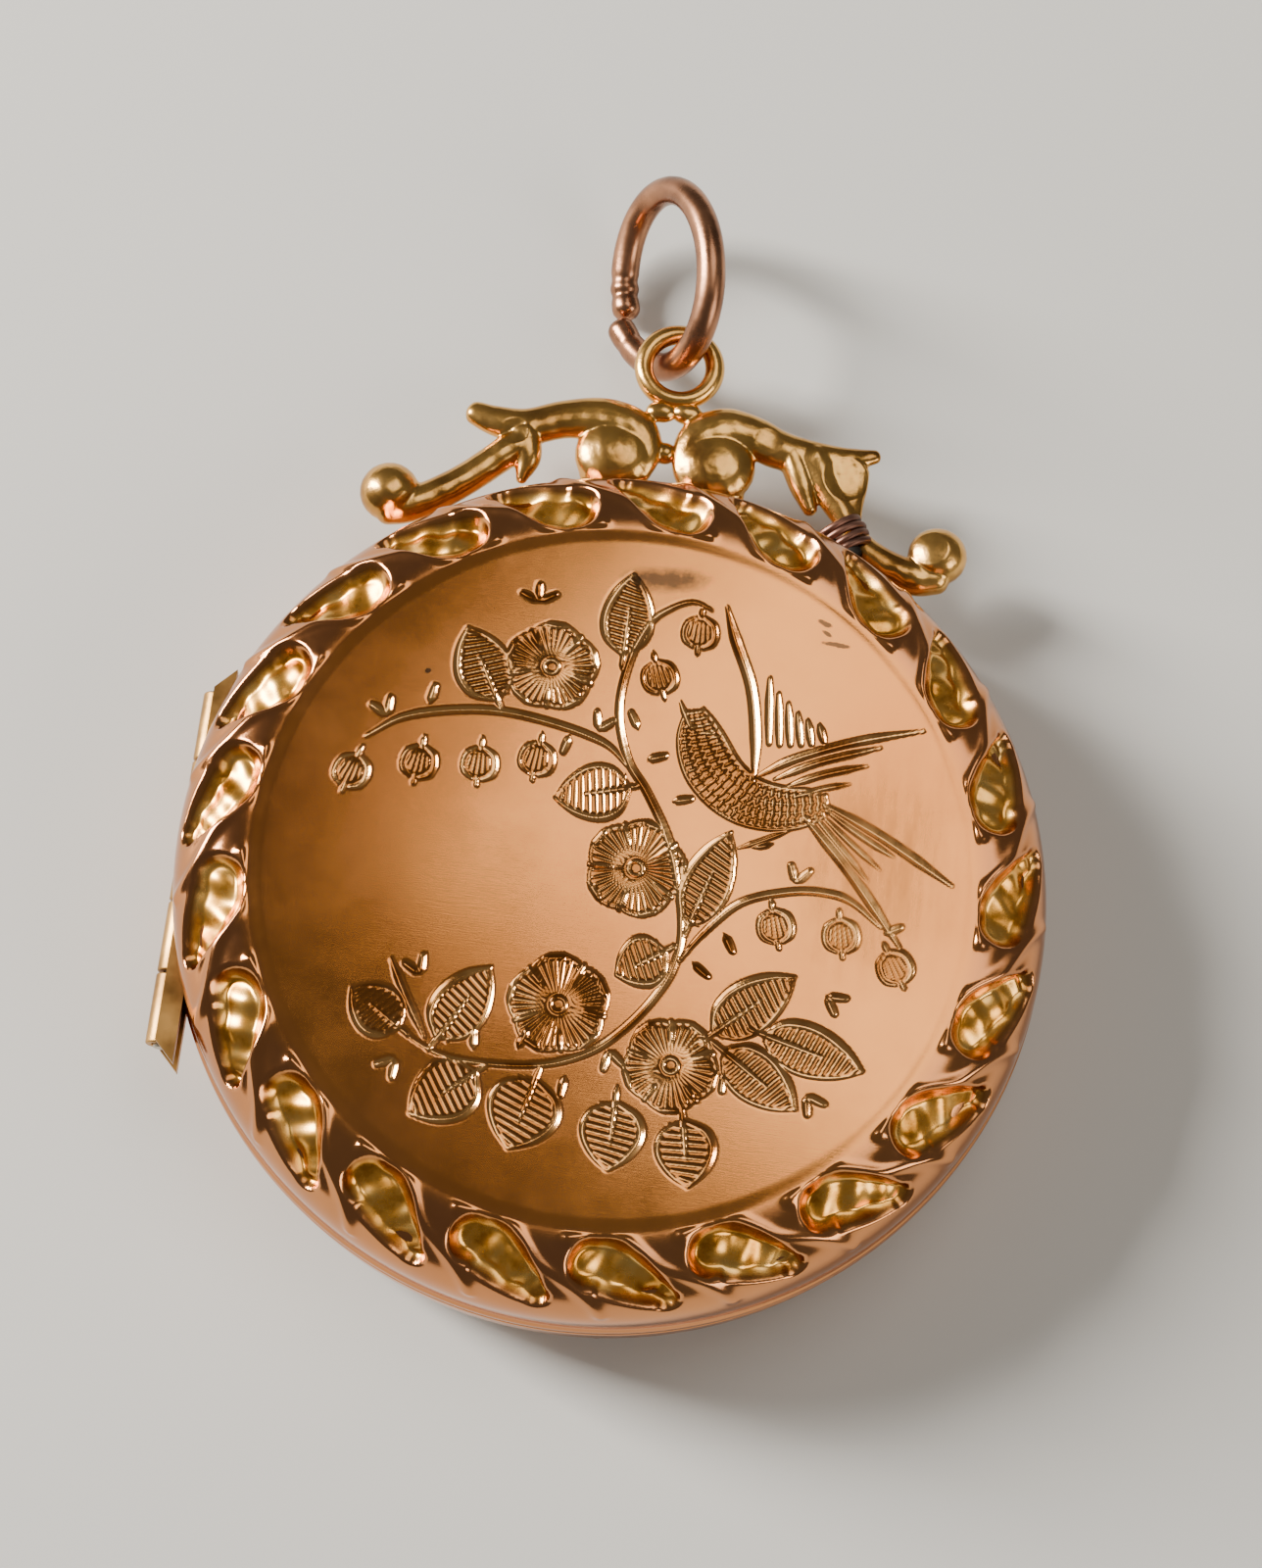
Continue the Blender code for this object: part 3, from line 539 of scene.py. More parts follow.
def cover(name, sign, dome, engraved, material):
    """One pressed cover, as rings of points from the middle of the face, over the border and the
    side wall, to the middle of the inner skin.

    Each ring is (radius, distance from the parting plane, length along the border, relief share).
    """
    rings = [(r, HALF_T + dome * (1 - (r / PANEL_R) ** 2), 0.0, 0.0)
             for r in np.linspace(0.0, PANEL_R - EDGE_HALF, 205 if engraved else 60)]
    for t in np.linspace(0.08, 1, 12):
        r = PANEL_R - EDGE_HALF + t * 2 * EDGE_HALF
        fall = EDGE_DROP * t * t * (3 - 2 * t)
        rings.append((r, HALF_T + dome * (1 - (r / PANEL_R) ** 2) - fall, 0.0, 0.0))
    edge = rings[-1][1]
    wall = CASE_R - RELIEF
    last = np.array((BORDER_R, edge))
    travelled = 0.0
    for t in np.linspace(0.014, 1, 72):
        a = math.pi / 2 * (1 - t)
        place = np.array((BORDER_R + (wall - BORDER_R) * math.cos(a) ** 0.96,
                          SKIRT_D + (edge - SKIRT_D) * math.sin(a)))
        travelled += np.linalg.norm(place - last)
        last = place
        fade_out = min(1.0, max(0.0, (BORDER_LONG - travelled) / 0.5))
        rings.append((*place, travelled, min(1.0, travelled / 0.15) * fade_out))
    rings += [(wall, d, 0.0, 0.0) for d in np.linspace(SKIRT_D - 0.08, 0.50, 8)]
    rim = ((0.04, 0.44), (0.09, 0.38), (0.10, 0.28), (0.10, 0.16), (0.07, 0.08), (0.0, 0.05),
           (-0.24, 0.05))
    rings += [(wall + out, d, 0.0, 0.0) for out, d in rim]
    outer_count = len(rings)
    inner = ((wall - 0.27, 0.2), (wall - 0.27, SKIRT_D), (wall - 0.9, HALF_T - 1.25),
             (PANEL_R, HALF_T - 0.75), (6.0, HALF_T - 0.42), (0.0, HALF_T - 0.40))
    rings += [(r, d, 0.0, 0.0) for r, d in inner]

    table = np.array(rings)
    rr, dd, along, weight = (np.repeat(table[:, k, None], TURN_STEPS, 1) for k in range(4))
    aa = np.tile(np.arange(TURN_STEPS) * 2 * math.pi / TURN_STEPS, (len(table), 1))
    step = np.gradient(table[:, :2], axis=0)
    length = np.hypot(step[:, 0], step[:, 1])
    normal_r = -step[:, 1] / length
    normal_d = step[:, 0] / length
    height, hollow, cut, tone = (np.zeros_like(rr) for _ in range(4))
    band = table[:, 3] > 0
    raised, share = border_relief(aa[band], along[band])
    height[band] = raised * weight[band]
    hollow[band] = share * weight[band]
    if sign < 0:
        # The back's panel stands on the table, so nothing near it may rise above it.
        height = np.minimum(height, np.clip((HALF_T - dd) / 0.9, 0, 1) * 0.2)
    if engraved:
        panel = table[:, 0] < PANEL_R
        panel[outer_count:] = False
        x, y = (rr * np.cos(aa))[panel], (rr * np.sin(aa))[panel]
        picture = engrave(x.ravel(), y.ravel())
        cut[panel], dished, tone[panel] = (layer.reshape(x.shape) for layer in picture)
        height[panel] -= cut[panel] + dished
        height[panel] += 0.003 * noise(x, y, 6.0, 4)
    tone[rr == 0] = 0.0  # the one point at the middle stays clean
    r = np.where(rr > 0, rr + height * normal_r[:, None], 0.0)
    d = dd + height * normal_d[:, None]
    values = (r * np.cos(aa), r * np.sin(aa), PART_Z + sign * d, cut / FULL_CUT, hollow, tone)
    loops, picked, total = [], [], 0
    for i, radius in enumerate(table[:, 0]):
        count = 1 if radius == 0 else TURN_STEPS
        loops.append(list(range(total, total + count)))
        picked.append(np.stack([value[i, :count] for value in values], 1))
        total += count
    picked = np.concatenate(picked)
    return make(name, picked[:, :3], ring_faces(loops, TURN_STEPS), material,
                attributes={"cut": picked[:, 3], "hollow": picked[:, 4], "tone": picked[:, 5]})


# ---- materials ------------
class Shader:
    """A node material around one Principled shader."""

    def __init__(self, name, colour, roughness, metallic=1.0):
        self.mat = bpy.data.materials.new(name)
        self.mat.use_nodes = True
        self.tree = self.mat.node_tree
        self.main = self.tree.nodes["Principled BSDF"]
        self.main.inputs["Base Color"].default_value = (*colour, 1.0)
        self.main.inputs["Roughness"].default_value = roughness
        self.main.inputs["Metallic"].default_value = metallic
        self.mat.diffuse_color = (*colour, 1.0)

    def node(self, kind, **values):
        made = self.tree.nodes.new(kind)
        for key, value in values.items():
            setattr(made, key, value)
        return made

    def link(self, out, into):
        self.tree.links.new(out, into)

    def noise(self, scale, detail=4.0, rough=0.55, stretch=None):
        coords = self.node("ShaderNodeTexCoord")
        source = coords.outputs["Object"]
        if stretch:
            mapping = self.node("ShaderNodeMapping")
            mapping.inputs["Scale"].default_value = stretch[:3]
            mapping.inputs["Rotation"].default_value = stretch[3:]
            self.link(source, mapping.inputs["Vector"])
            source = mapping.outputs["Vector"]
        made = self.node("ShaderNodeTexNoise")
        made.inputs["Scale"].default_value = scale
        made.inputs["Detail"].default_value = detail
        made.inputs["Roughness"].default_value = rough
        self.link(source, made.inputs["Vector"])
        return made.outputs["Fac"]

    def ramp(self, source, *stops):
        made = self.node("ShaderNodeValToRGB")
        ramp = made.color_ramp
        while len(ramp.elements) < len(stops):
            ramp.elements.new(0.5)
        for element, (place, colour) in zip(ramp.elements, stops):
            element.position = place
            colour = (colour,) * 3 if isinstance(colour, (int, float)) else colour
            element.color = (*colour, 1.0)
        self.link(source, made.inputs["Fac"])
        return made.outputs["Color"]

    def feed(self, value, into):
        """Sets a colour or a number on a socket, or links another node's output to it."""
        if isinstance(value, tuple):
            into.default_value = (*value, 1.0)
        elif isinstance(value, float):
            into.default_value = value
        else:
            self.link(value, into)

    def mix(self, share, first, second):
        made = self.node("ShaderNodeMix", data_type="RGBA")
        for value, slot in ((share, 0), (first, 6), (second, 7)):
            self.feed(value, made.inputs[slot])
        return made.outputs[2]

    def maths(self, operation, first, second):
        made = self.node("ShaderNodeMath", operation=operation)
        for value, slot in ((first, 0), (second, 1)):
            self.feed(value, made.inputs[slot])
        return made.outputs[0]

    def attribute(self, name):
        made = self.node("ShaderNodeAttribute", attribute_name=name)
        return made.outputs["Fac"]

    def spread(self, source, low, high):
        made = self.node("ShaderNodeMapRange")
        made.inputs["To Min"].default_value = low
        made.inputs["To Max"].default_value = high
        self.link(source, made.inputs["Value"])
        return made.outputs["Result"]

    def bump(self, source, strength, distance):
        made = self.node("ShaderNodeBump")
        made.inputs["Strength"].default_value = strength
        made.inputs["Distance"].default_value = distance
        self.link(source, made.inputs["Height"])
        self.link(made.outputs["Normal"], self.main.inputs["Normal"])

    def colour(self, source):
        self.link(source, self.main.inputs["Base Color"])

    def rough(self, source):
        self.link(source, self.main.inputs["Roughness"])


ROSE = (0.86, 0.345, 0.095)
ROSE_DEEP = (0.75, 0.27, 0.07)
YELLOW = (1.0, 0.48, 0.085)
YELLOW_PALE = (1.0, 0.60, 0.17)
BRONZE = (0.40, 0.15, 0.035)
HOLLOW_DARK = (0.62, 0.25, 0.03)
# colour of the painted shade round the rims of the border hollows
PAINTED_RIM_SHADE = (0.34, 0.12, 0.03)
PATINA = (0.36, 0.17, 0.105)
# painted shade and painted glints on the engraved cuts
CUT_PAINTED_SHADE = (0.42, 0.15, 0.035)
CUT_PAINTED_GLINT = (1.0, 0.52, 0.18)
SMUT = (0.10, 0.06, 0.035)
CROWN = (0.82, 0.46, 0.13)
CROWN_DEEP = (0.42, 0.20, 0.05)
PATINA_R = 20.0
NICKS = (((5.9, 9.35), (0.42, 0.16), -0.3), ((6.35, 8.65), (0.75, 0.15), -0.05),
         ((6.0, 9.0), (0.30, 0.12), -0.5), ((-6.9, 5.9), (0.16, 0.14), 0.4))


def spot(s, centre, size, turn=0.0):
    """1 at a place on the face, falling to 0 at size (x, y) from it."""
    coords = s.node("ShaderNodeTexCoord")
    place = s.node("ShaderNodeMapping", vector_type="TEXTURE")
    place.inputs["Location"].default_value = [c * MM for c in (*centre, PART_Z + HALF_T)]
    place.inputs["Rotation"].default_value = (0.0, 0.0, turn)
    place.inputs["Scale"].default_value = [c * MM for c in (*size, 1.0)]
    s.link(coords.outputs["Object"], place.inputs["Vector"])
    ball = s.node("ShaderNodeTexGradient", gradient_type="SPHERICAL")
    s.link(place.outputs["Vector"], ball.inputs["Vector"])
    return ball.outputs["Fac"]


def cover_gold(name, engraved):
    """Worn rose gold with yellow hollows ringed by painted shade and, on the front, cuts with
    painted glints and shade in darkened dishes.
    """
    s = Shader(name, ROSE, 0.14)
    in_hollow = s.attribute("hollow")
    tone = s.ramp(s.noise(90.0, 2.0, 0.4), (0.25, ROSE_DEEP), (0.60, ROSE))
    hollow = s.ramp(s.noise(1100.0, 4.0, 0.6), (0.34, HOLLOW_DARK), (0.48, YELLOW),
                    (0.68, YELLOW_PALE))
    # The two stops lie at radii 12.3 and 11.7, so that only the border and the wall are worn.
    off_panel = s.ramp(spot(s, (0.0, 0.0), (PATINA_R, PATINA_R)), (0.385, 1.0), (0.415, 0.0))
    worn_on = s.maths("MULTIPLY", off_panel, s.spread(s.noise(260.0, 4.0, 0.6), 0.20, 0.75))
    tone = s.mix(worn_on, tone, PATINA)
    body = s.mix(in_hollow, tone, hollow)
    # Painted shade: a dark ring is coloured round the rim of each border hollow, where shade falls.
    rim = s.ramp(in_hollow, (0.02, 0.0), (0.38, 0.62), (0.90, 0.0))
    body = s.mix(rim, body, PAINTED_RIM_SHADE)
    haze = s.ramp(s.noise(500.0, 8.0, 0.7), (0.35, 0.0), (0.75, 1.0))
    rough = s.maths("ADD", s.spread(haze, 0.11, 0.20), s.maths("MULTIPLY", in_hollow, 0.12))
    if engraved:
        share = s.ramp(s.attribute("cut"), (0.10, 0.0), (0.55, 1.0))
        body = s.mix(s.maths("MULTIPLY", s.attribute("tone"), 0.82), body, BRONZE)
        # Painted glints and shade: the cuts are coloured bright or dark in patches a few
        # millimetres across, standing in for the highlights and shade their walls catch.
        glint = s.ramp(s.noise(380.0, 2.0), (0.40, CUT_PAINTED_SHADE), (0.52, CUT_PAINTED_GLINT))
        body = s.mix(share, body, glint)
        smear = s.maths("MULTIPLY", spot(s, (0.5, 10.15), (2.3, 0.75), 0.12),
                        s.noise(900.0, 8.0, 0.75))
        body = s.mix(s.ramp(smear, (0.13, 0.0), (0.36, 0.90)), body, SMUT)
        for place, size, turn in NICKS:
            nick = s.maths("MULTIPLY", spot(s, place, size, turn), s.noise(5000.0, 4.0, 0.6))
            body = s.mix(s.ramp(nick, (0.14, 0.0), (0.26, 0.9)), body, SMUT)
        streaks = s.noise(1500.0, 9.0, 0.8, (1.0, 0.16, 1.0, 0, 0, 0.5))
        worn = s.maths("MULTIPLY", spot(s, (8.4, 1.6), (5.2, 7.0)), streaks)
        worn = s.ramp(worn, (0.15, 0.0), (0.5, 1.0))
        rough = s.maths("ADD", rough, s.maths("MULTIPLY", worn, 0.26))
    s.colour(body)
    s.rough(rough)
    scratch = s.noise(1400.0, 6.0, 0.75, (1.0, 22.0, 1.0, 0.0, 0.0, 0.6))
    s.bump(scratch, 0.06, 0.00003)
    return s.mat


def plain_gold(name, colour, deep, roughness, grain=1500.0, bump=0.12):
    s = Shader(name, colour, roughness)
    s.colour(s.ramp(s.noise(500.0, 4.0), (0.30, deep), (0.58, colour)))
    s.rough(s.spread(s.noise(900.0, 5.0, 0.6), roughness * 0.6, roughness * 1.7))
    s.bump(s.noise(grain, 5.0, 0.6), bump, 0.00006)
    return s.mat


def paper_card(name):
    s = Shader(name, (0.74, 0.66, 0.50), 0.9, 0.0)
    aged = s.ramp(s.noise(300.0, 6.0, 0.6), (0.25, (0.60, 0.49, 0.33)), (0.70, (0.80, 0.72, 0.57)))
    s.colour(aged)
    s.bump(s.noise(6000.0, 3.0), 0.3, 0.00003)
    return s.mat


def clear_window(name):
    s = Shader(name, (0.97, 0.98, 0.96), 0.04, 0.0)
    s.main.inputs["Transmission Weight"].default_value = 1.0
    s.main.inputs["IOR"].default_value = 1.45
    s.rough(s.spread(s.noise(500.0, 5.0, 0.7), 0.02, 0.12))
    return s.mat


ROSE_FRONT = cover_gold("rose_gold_front", True)
ROSE_BACK = cover_gold("rose_gold_rear", False)
GILT = plain_gold("gilt_pan", (0.80, 0.60, 0.30), (0.62, 0.42, 0.18), 0.22)
HINGE = plain_gold("hinge_metal", (0.52, 0.29, 0.09), (0.20, 0.10, 0.03), 0.32)
STEEL = plain_gold("pin_wire", (0.55, 0.50, 0.42), (0.38, 0.33, 0.26), 0.28)
CROWN_GOLD = plain_gold("crown_cast_gold", CROWN, CROWN_DEEP, 0.20, 2200.0, 0.22)
COPPER = plain_gold("ring_copper", (0.46, 0.22, 0.12), (0.20, 0.09, 0.05), 0.25, 1800.0, 0.18)
DARK_WIRE = plain_gold("dark_wire", (0.22, 0.11, 0.08), (0.07, 0.04, 0.03), 0.38, 2500.0, 0.3)
BURNT = plain_gold("burnt_solder", (0.05, 0.045, 0.04), (0.015, 0.013, 0.012), 0.6, 3000.0, 0.6)
PAPER = paper_card("aged_card")
CLEAR = clear_window("clear_disc")


def own(obj, node, body):
    """Stands obj in for one CAD node and lets it move with its body."""
    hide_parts(node)
    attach(obj, body)


def apply_modifiers(obj):
    """Gives an object the mesh that its modifiers make, and returns it."""
    bpy.context.view_layer.update()
    graph = bpy.context.evaluated_depsgraph_get()
    mesh = bpy.data.meshes.new_from_object(obj.evaluated_get(graph))
    obj.modifiers.clear()
    obj.data = mesh
    return mesh


# ---- covers ------------
HINGE_ROOM = 0.05  # left free beside and above a hinge plate
HINGE_END_ROOM = 0.3


def cut_hinge_room(obj, sign):
    """Cuts the hinge's room out of a cover's side wall."""
    low, high = node_box(("back" if sign < 0 else "front") + "_hinge_plate")
    reach = max(abs(high[2] - PART_Z), abs(low[2] - PART_Z)) + HINGE_ROOM
    z0, z1 = sorted((PART_Z - sign * 1.0, PART_Z + sign * reach))
    x0, x1 = -CASE_R - 2, high[0] + HINGE_ROOM
    y0, y1 = low[1] - HINGE_END_ROOM, high[1] + HINGE_END_ROOM
    points = [(x, y, z) for x in (x0, x1) for y in (y0, y1) for z in (z0, z1)]
    faces = [(0, 1, 3, 2), (4, 6, 7, 5), (0, 4, 5, 1), (2, 3, 7, 6), (0, 2, 6, 4), (1, 5, 7, 3)]
    cutter = make("hinge_room", points, faces, obj.data.materials[0], False)
    step = obj.modifiers.new("hinge_room", "BOOLEAN")
    step.operation = "DIFFERENCE"
    step.solver = "EXACT"
    step.object = cutter
    apply_modifiers(obj)
    bpy.data.objects.remove(cutter, do_unlink=True)


front = cover("front_cover_detail", 1, DOME, True, ROSE_FRONT)
cut_hinge_room(front, 1)
own(front, "front_cover", BODY_LID)
back = cover("back_cover_detail", -1, 0.0, False, ROSE_BACK)
cut_hinge_room(back, -1)
own(back, "back_cover", BODY_BACK)


# ---- round inside pieces ------------
def disc_profile(low, high, corner):
    r, z0, z1 = high[0], low[2], high[2]
    return rounded([(0.0, z0), (r, z0), (r, z1), (0.0, z1)], corner)


for half, body, sign in (("back", BODY_BACK, -1), ("front", BODY_LID, 1)):
    low, high = node_box(half + "_photo_card")
    card = lathe(half + "_card_detail", disc_profile(low, high, 0.04), PAPER)
    own(card, half + "_photo_card", body)
    low, high = node_box(half + "_window")
    window = lathe(half + "_window_detail", disc_profile(low, high, 0.06), CLEAR)
    own(window, half + "_window", body)
    low, high = node_box(half + "_bezel")
    outer = high[0]
    near, far = (high[2], low[2]) if sign < 0 else (low[2], high[2])
    rise = near - far
    shape = [(outer, far), (outer, near), (outer - 0.35, near), (outer - 0.50, near - rise * 0.25),
             (outer - 0.75, near - rise * 0.12), (outer - 1.15, near - rise * 0.45),
             (outer - 1.50, near - rise * 0.80), (outer - 1.50, far)]
    gilt = plain_gold(half + "_bezel_gold", (0.84, 0.63, 0.32), (0.60, 0.40, 0.17), 0.18)
    bezel = lathe(half + "_bezel_detail", rounded(shape, 0.10), gilt)
    own(bezel, half + "_bezel", body)

low, high = node_box("closing_lip")
outer, inner, z0, z1 = high[0], high[0] - 0.28, low[2], high[2]
shape = [(outer, z1), (outer, z0 + 0.18), (outer - 0.10, z0), (inner, z0), (inner, z1)]
lip = lathe("closing_lip_detail", rounded(shape, 0.05), GILT)
own(lip, "closing_lip", BODY_LID)

# The pans keep their CAD meshes.
for node in ("back_pan", "front_pan"):
    for material_slot in frame["nodes"][node].material_slots:
        material_slot.material = GILT

# ---- hinge ------------
KNUCKLE_HOLE_R = 0.29
PLATE_TUCK = 0.22  # the outer face of a plate is drawn in by this
PLATE_ROUND = 0.06


def pin_box(node):
    """(radius, low end, high end) of a piece that lies along the hinge line."""
    low, high = node_box(node)
    return (high[2] - low[2]) / 2, low[1], high[1]


def hinge_plate(node, name, body):
    """A copy of a CAD plate with rounded edges."""
    mesh = frame["nodes"][node].data.copy()
    outer_x = node_box(node)[0][0]
    for vertex in mesh.vertices:
        if vertex.co.x / MM < outer_x + 0.1:
            vertex.co.x += PLATE_TUCK * MM
    obj = add_object(name, mesh)
    mesh.materials.clear()
    mesh.materials.append(HINGE)
    step = obj.modifiers.new("edges", "BEVEL")
    step.width = PLATE_ROUND * MM
    step.segments = 3
    step.limit_method = "ANGLE"
    step.angle_limit = math.radians(35)
    apply_modifiers(obj)
    own(obj, node, body)


for node, body in (("back_knuckle_1", BODY_BACK), ("back_knuckle_2", BODY_BACK),
                   ("back_knuckle_3", BODY_BACK), ("front_knuckle_1", BODY_LID),
                   ("front_knuckle_2", BODY_LID)):
    radius, y0, y1 = pin_box(node)
    shape = rounded([(radius, y0), (radius, y1), (KNUCKLE_HOLE_R, y1), (KNUCKLE_HOLE_R, y0)], 0.07)
    knuckle = lathe(node + "_detail", shape, HINGE, 48, (HINGE_X, PART_Z))
    own(knuckle, node, body)
radius, y0, y1 = pin_box("hinge_pin")
shape = rounded([(0.0, y0), (radius, y0), (radius, y1), (0.0, y1)], 0.08)
pin = lathe("hinge_pin_detail", shape, STEEL, 32, (HINGE_X, PART_Z))
own(pin, "hinge_pin", BODY_BACK)
hinge_plate("back_hinge_plate", "back_plate_detail", BODY_BACK)
hinge_plate("front_hinge_plate", "front_plate_detail", BODY_LID)

# ---- crown ------------
BAIL_LOW, BAIL_HIGH = node_box("bail_loop")
CROWN_Z = (BAIL_LOW[2] + BAIL_HIGH[2]) / 2
BAIL_Y = (BAIL_LOW[1] + BAIL_HIGH[1]) / 2
BAIL_OUT = (BAIL_HIGH[0] - BAIL_LOW[0]) / 2
BAIL_WIRE = (BAIL_HIGH[2] - BAIL_LOW[2]) / 2
BAIL_STEPS = 96
BAIL_SIDES = 20
GLOBE_RINGS = 16
GLOBE_SIDES = 24


def globe(centre, size):
    points, loops = [], []
    for i in range(GLOBE_RINGS + 1):
        a = math.pi * i / GLOBE_RINGS
        count = 1 if i in (0, GLOBE_RINGS) else GLOBE_SIDES
        loops.append(list(range(len(points), len(points) + count)))
        for k in range(count):
            b = 2 * math.pi * k / GLOBE_SIDES
            points.append((centre[0] + size[0] * math.sin(a) * math.cos(b),
                           centre[1] + size[1] * math.sin(a) * math.sin(b),
                           centre[2] - size[2] * math.cos(a)))
    return points, ring_faces(loops, GLOBE_SIDES)


def limb(knots, high=0.55, z=CROWN_Z):
    """A flattened tube through (x, y, half width); high is half its thickness."""
    fine = smooth_path(knots, 6)
    path = [(x, y, z) for x, y, _ in fine]
    return tube(path, fine[:, 2], 20, min(1.0, high / fine[:, 2].max()))


def sculpt(name, pieces, hollows, material, voxel=0.055, soften=3):
    """Fuses overlapping forms into one cast piece, then presses hollows into it."""
    points, faces = [], []
    for more_points, more_faces in pieces:
        base = len(points)
        points.extend(more_points)
        faces.extend(tuple(i + base for i in face) for face in more_faces)
    # The remesh counts a millimetre as a whole unit; the points are scaled down at the end.
    obj = make(name, np.array(points) / MM, faces, material)
    fuse = obj.modifiers.new("fuse", "REMESH")
    fuse.mode = "VOXEL"
    fuse.voxel_size = voxel
    fuse.use_smooth_shade = True
    ease = obj.modifiers.new("ease", "SMOOTH")
    ease.factor = 0.5
    ease.iterations = soften
    mesh = apply_modifiers(obj)
    co = np.empty(len(mesh.vertices) * 3)
    mesh.vertices.foreach_get("co", co)
    co = co.reshape(-1, 3)
    for (cx, cy), radius, deep in hollows:
        away = np.hypot(co[:, 0] - cx, co[:, 1] - cy) / radius
        co[:, 2] -= deep * np.clip(1 - away ** 2, 0, 1) ** 0.8 * (co[:, 2] > CROWN_Z)
    co[:, 2] += noise(co[:, 0], co[:, 1] + co[:, 2], 0.9, 11) * 0.02
    mesh.vertices.foreach_set("co", (co * MM).ravel())
    mesh.materials.clear()
    mesh.materials.append(material)
    mesh.polygons.foreach_set("use_smooth", [True] * len(mesh.polygons))
    mesh.update()
    return obj


left = sculpt("left_scroll_detail", [
    limb([(-6.85, 17.0, 0.44), (-6.1, 16.8, 0.56), (-5.0, 16.75, 0.66), (-3.7, 17.2, 0.70),
          (-2.4, 17.35, 0.82), (-1.3, 17.05, 0.84), (-0.85, 16.4, 0.64), (-1.0, 15.6, 0.50)], 0.60),
    limb([(-5.0, 16.3, 0.62), (-5.9, 15.4, 0.58), (-6.8, 14.55, 0.58), (-7.7, 13.85, 0.60),
          (-8.7, 13.25, 0.62), (-9.4, 13.05, 0.60)]),
    limb([(-5.1, 16.4, 0.60), (-4.85, 15.6, 0.50), (-4.95, 14.75, 0.20)]),
    limb([(-2.1, 15.9, 1.10), (-2.0, 15.1, 0.92), (-1.9, 14.5, 1.05)], 0.44, CROWN_Z - 0.12),
    globe((-1.85, 16.10, CROWN_Z), (1.40, 1.38, 0.70)),
    globe((-9.4, 13.65, CROWN_Z), (1.05, 1.05, 0.90)),
    globe((-0.12, 16.45, CROWN_Z - 0.1), (0.42, 0.40, 0.34)),
    globe((-0.42, 17.95, CROWN_Z), (0.56, 0.40, 0.30)),
], [((-5.4, 16.35), 0.50, 0.10)], CROWN_GOLD)
own(left, "left_scroll", BODY_BACK)

right = sculpt("right_scroll_detail", [
    limb([(0.95, 15.4, 0.50), (0.75, 16.1, 0.60), (1.0, 17.0, 0.80), (1.8, 17.5, 0.86),
          (2.8, 17.45, 0.78), (3.8, 17.1, 0.72), (4.9, 16.95, 0.64), (6.1, 17.0, 0.50),
          (7.2, 17.3, 0.26)], 0.60),
    limb([(6.05, 16.45, 1.05), (6.15, 16.0, 0.95), (6.3, 15.4, 0.74), (6.5, 14.85, 0.50)], 0.46),
    limb([(5.0, 16.9, 0.66), (5.45, 16.3, 0.66), (5.95, 15.5, 0.56), (6.4, 14.85, 0.46)], 0.52),
    limb([(4.3, 16.9, 0.50), (4.75, 15.9, 0.46), (5.15, 15.0, 0.26)]),
    limb([(1.8, 15.9, 1.10), (1.9, 15.1, 0.92), (1.9, 14.5, 1.05)], 0.44, CROWN_Z - 0.12),
    globe((1.68, 16.15, CROWN_Z), (1.42, 1.40, 0.70)),
    globe((0.46, 18.0, CROWN_Z), (0.56, 0.40, 0.30)),
], [((6.25, 16.2), 0.80, 0.16), ((3.4, 17.2), 0.5, 0.06)], CROWN_GOLD)
own(right, "right_scroll", BODY_BACK)

tip = sculpt("right_tip_detail", [
    limb([(6.75, 14.15, 0.50), (7.3, 13.65, 0.56), (8.1, 13.25, 0.60), (9.0, 13.0, 0.64),
          (9.75, 13.1, 0.60)]),
    globe((9.72, 13.88, CROWN_Z), (1.04, 1.02, 0.88)),
], [((9.4, 13.9), 0.60, 0.10)], CROWN_GOLD)
own(tip, "right_scroll_tip", BODY_BACK)

points, loops = [], []
for i in range(BAIL_STEPS):
    a = 2 * math.pi * i / BAIL_STEPS
    radius = BAIL_WIRE * (1.12 + 0.03 * math.cos(3 * a))
    centre = BAIL_OUT - BAIL_WIRE * 1.14
    loops.append(list(range(len(points), len(points) + BAIL_SIDES)))
    for k in range(BAIL_SIDES):
        b = 2 * math.pi * k / BAIL_SIDES
        reach = centre + radius * math.cos(b)
        points.append((reach * math.cos(a), BAIL_Y + reach * math.sin(a),
                       CROWN_Z + radius * math.sin(b)))
bail = make("bail_loop_detail", points, ring_faces(loops, BAIL_SIDES, True), CROWN_GOLD)
own(bail, "bail_loop", BODY_BACK)

# ---- old repair ------------
WRAP_LOW, WRAP_HIGH = node_box("binding_wire")
WRAP_MID = Vector(((WRAP_LOW + WRAP_HIGH) / 2).tolist())
WRAP_WIRE = 0.14
WRAP_R = 0.76
WRAP_TURNS = 3.4
WRAP_STEPS = 28  # points in one turn
WRAP_PITCH = 2.15  # from turn to turn, over the wire's radius
UP = Vector((0, 0, 1))
wrap_along = Vector((0.62, -0.78, 0.0)).normalized()
wrap_side = wrap_along.cross(UP).normalized()
path = []
for i in range(int(WRAP_TURNS * WRAP_STEPS) + 1):
    turn = i / WRAP_STEPS
    a = 2 * math.pi * turn
    shift = (turn - WRAP_TURNS / 2) * WRAP_WIRE * WRAP_PITCH + 0.03 * math.sin(a * 1.5)
    radius = WRAP_R + 0.03 * math.sin(2.3 * a)
    across = wrap_side * math.cos(a) * radius + UP * math.sin(a) * radius * 0.92
    path.append(WRAP_MID + wrap_along * shift + across)
points, faces = tube(path, [WRAP_WIRE] * len(path), 12, up=tuple(wrap_along))
wrap = make("binding_wire_detail", points, faces, DARK_WIRE)
own(wrap, "binding_wire", BODY_BACK)

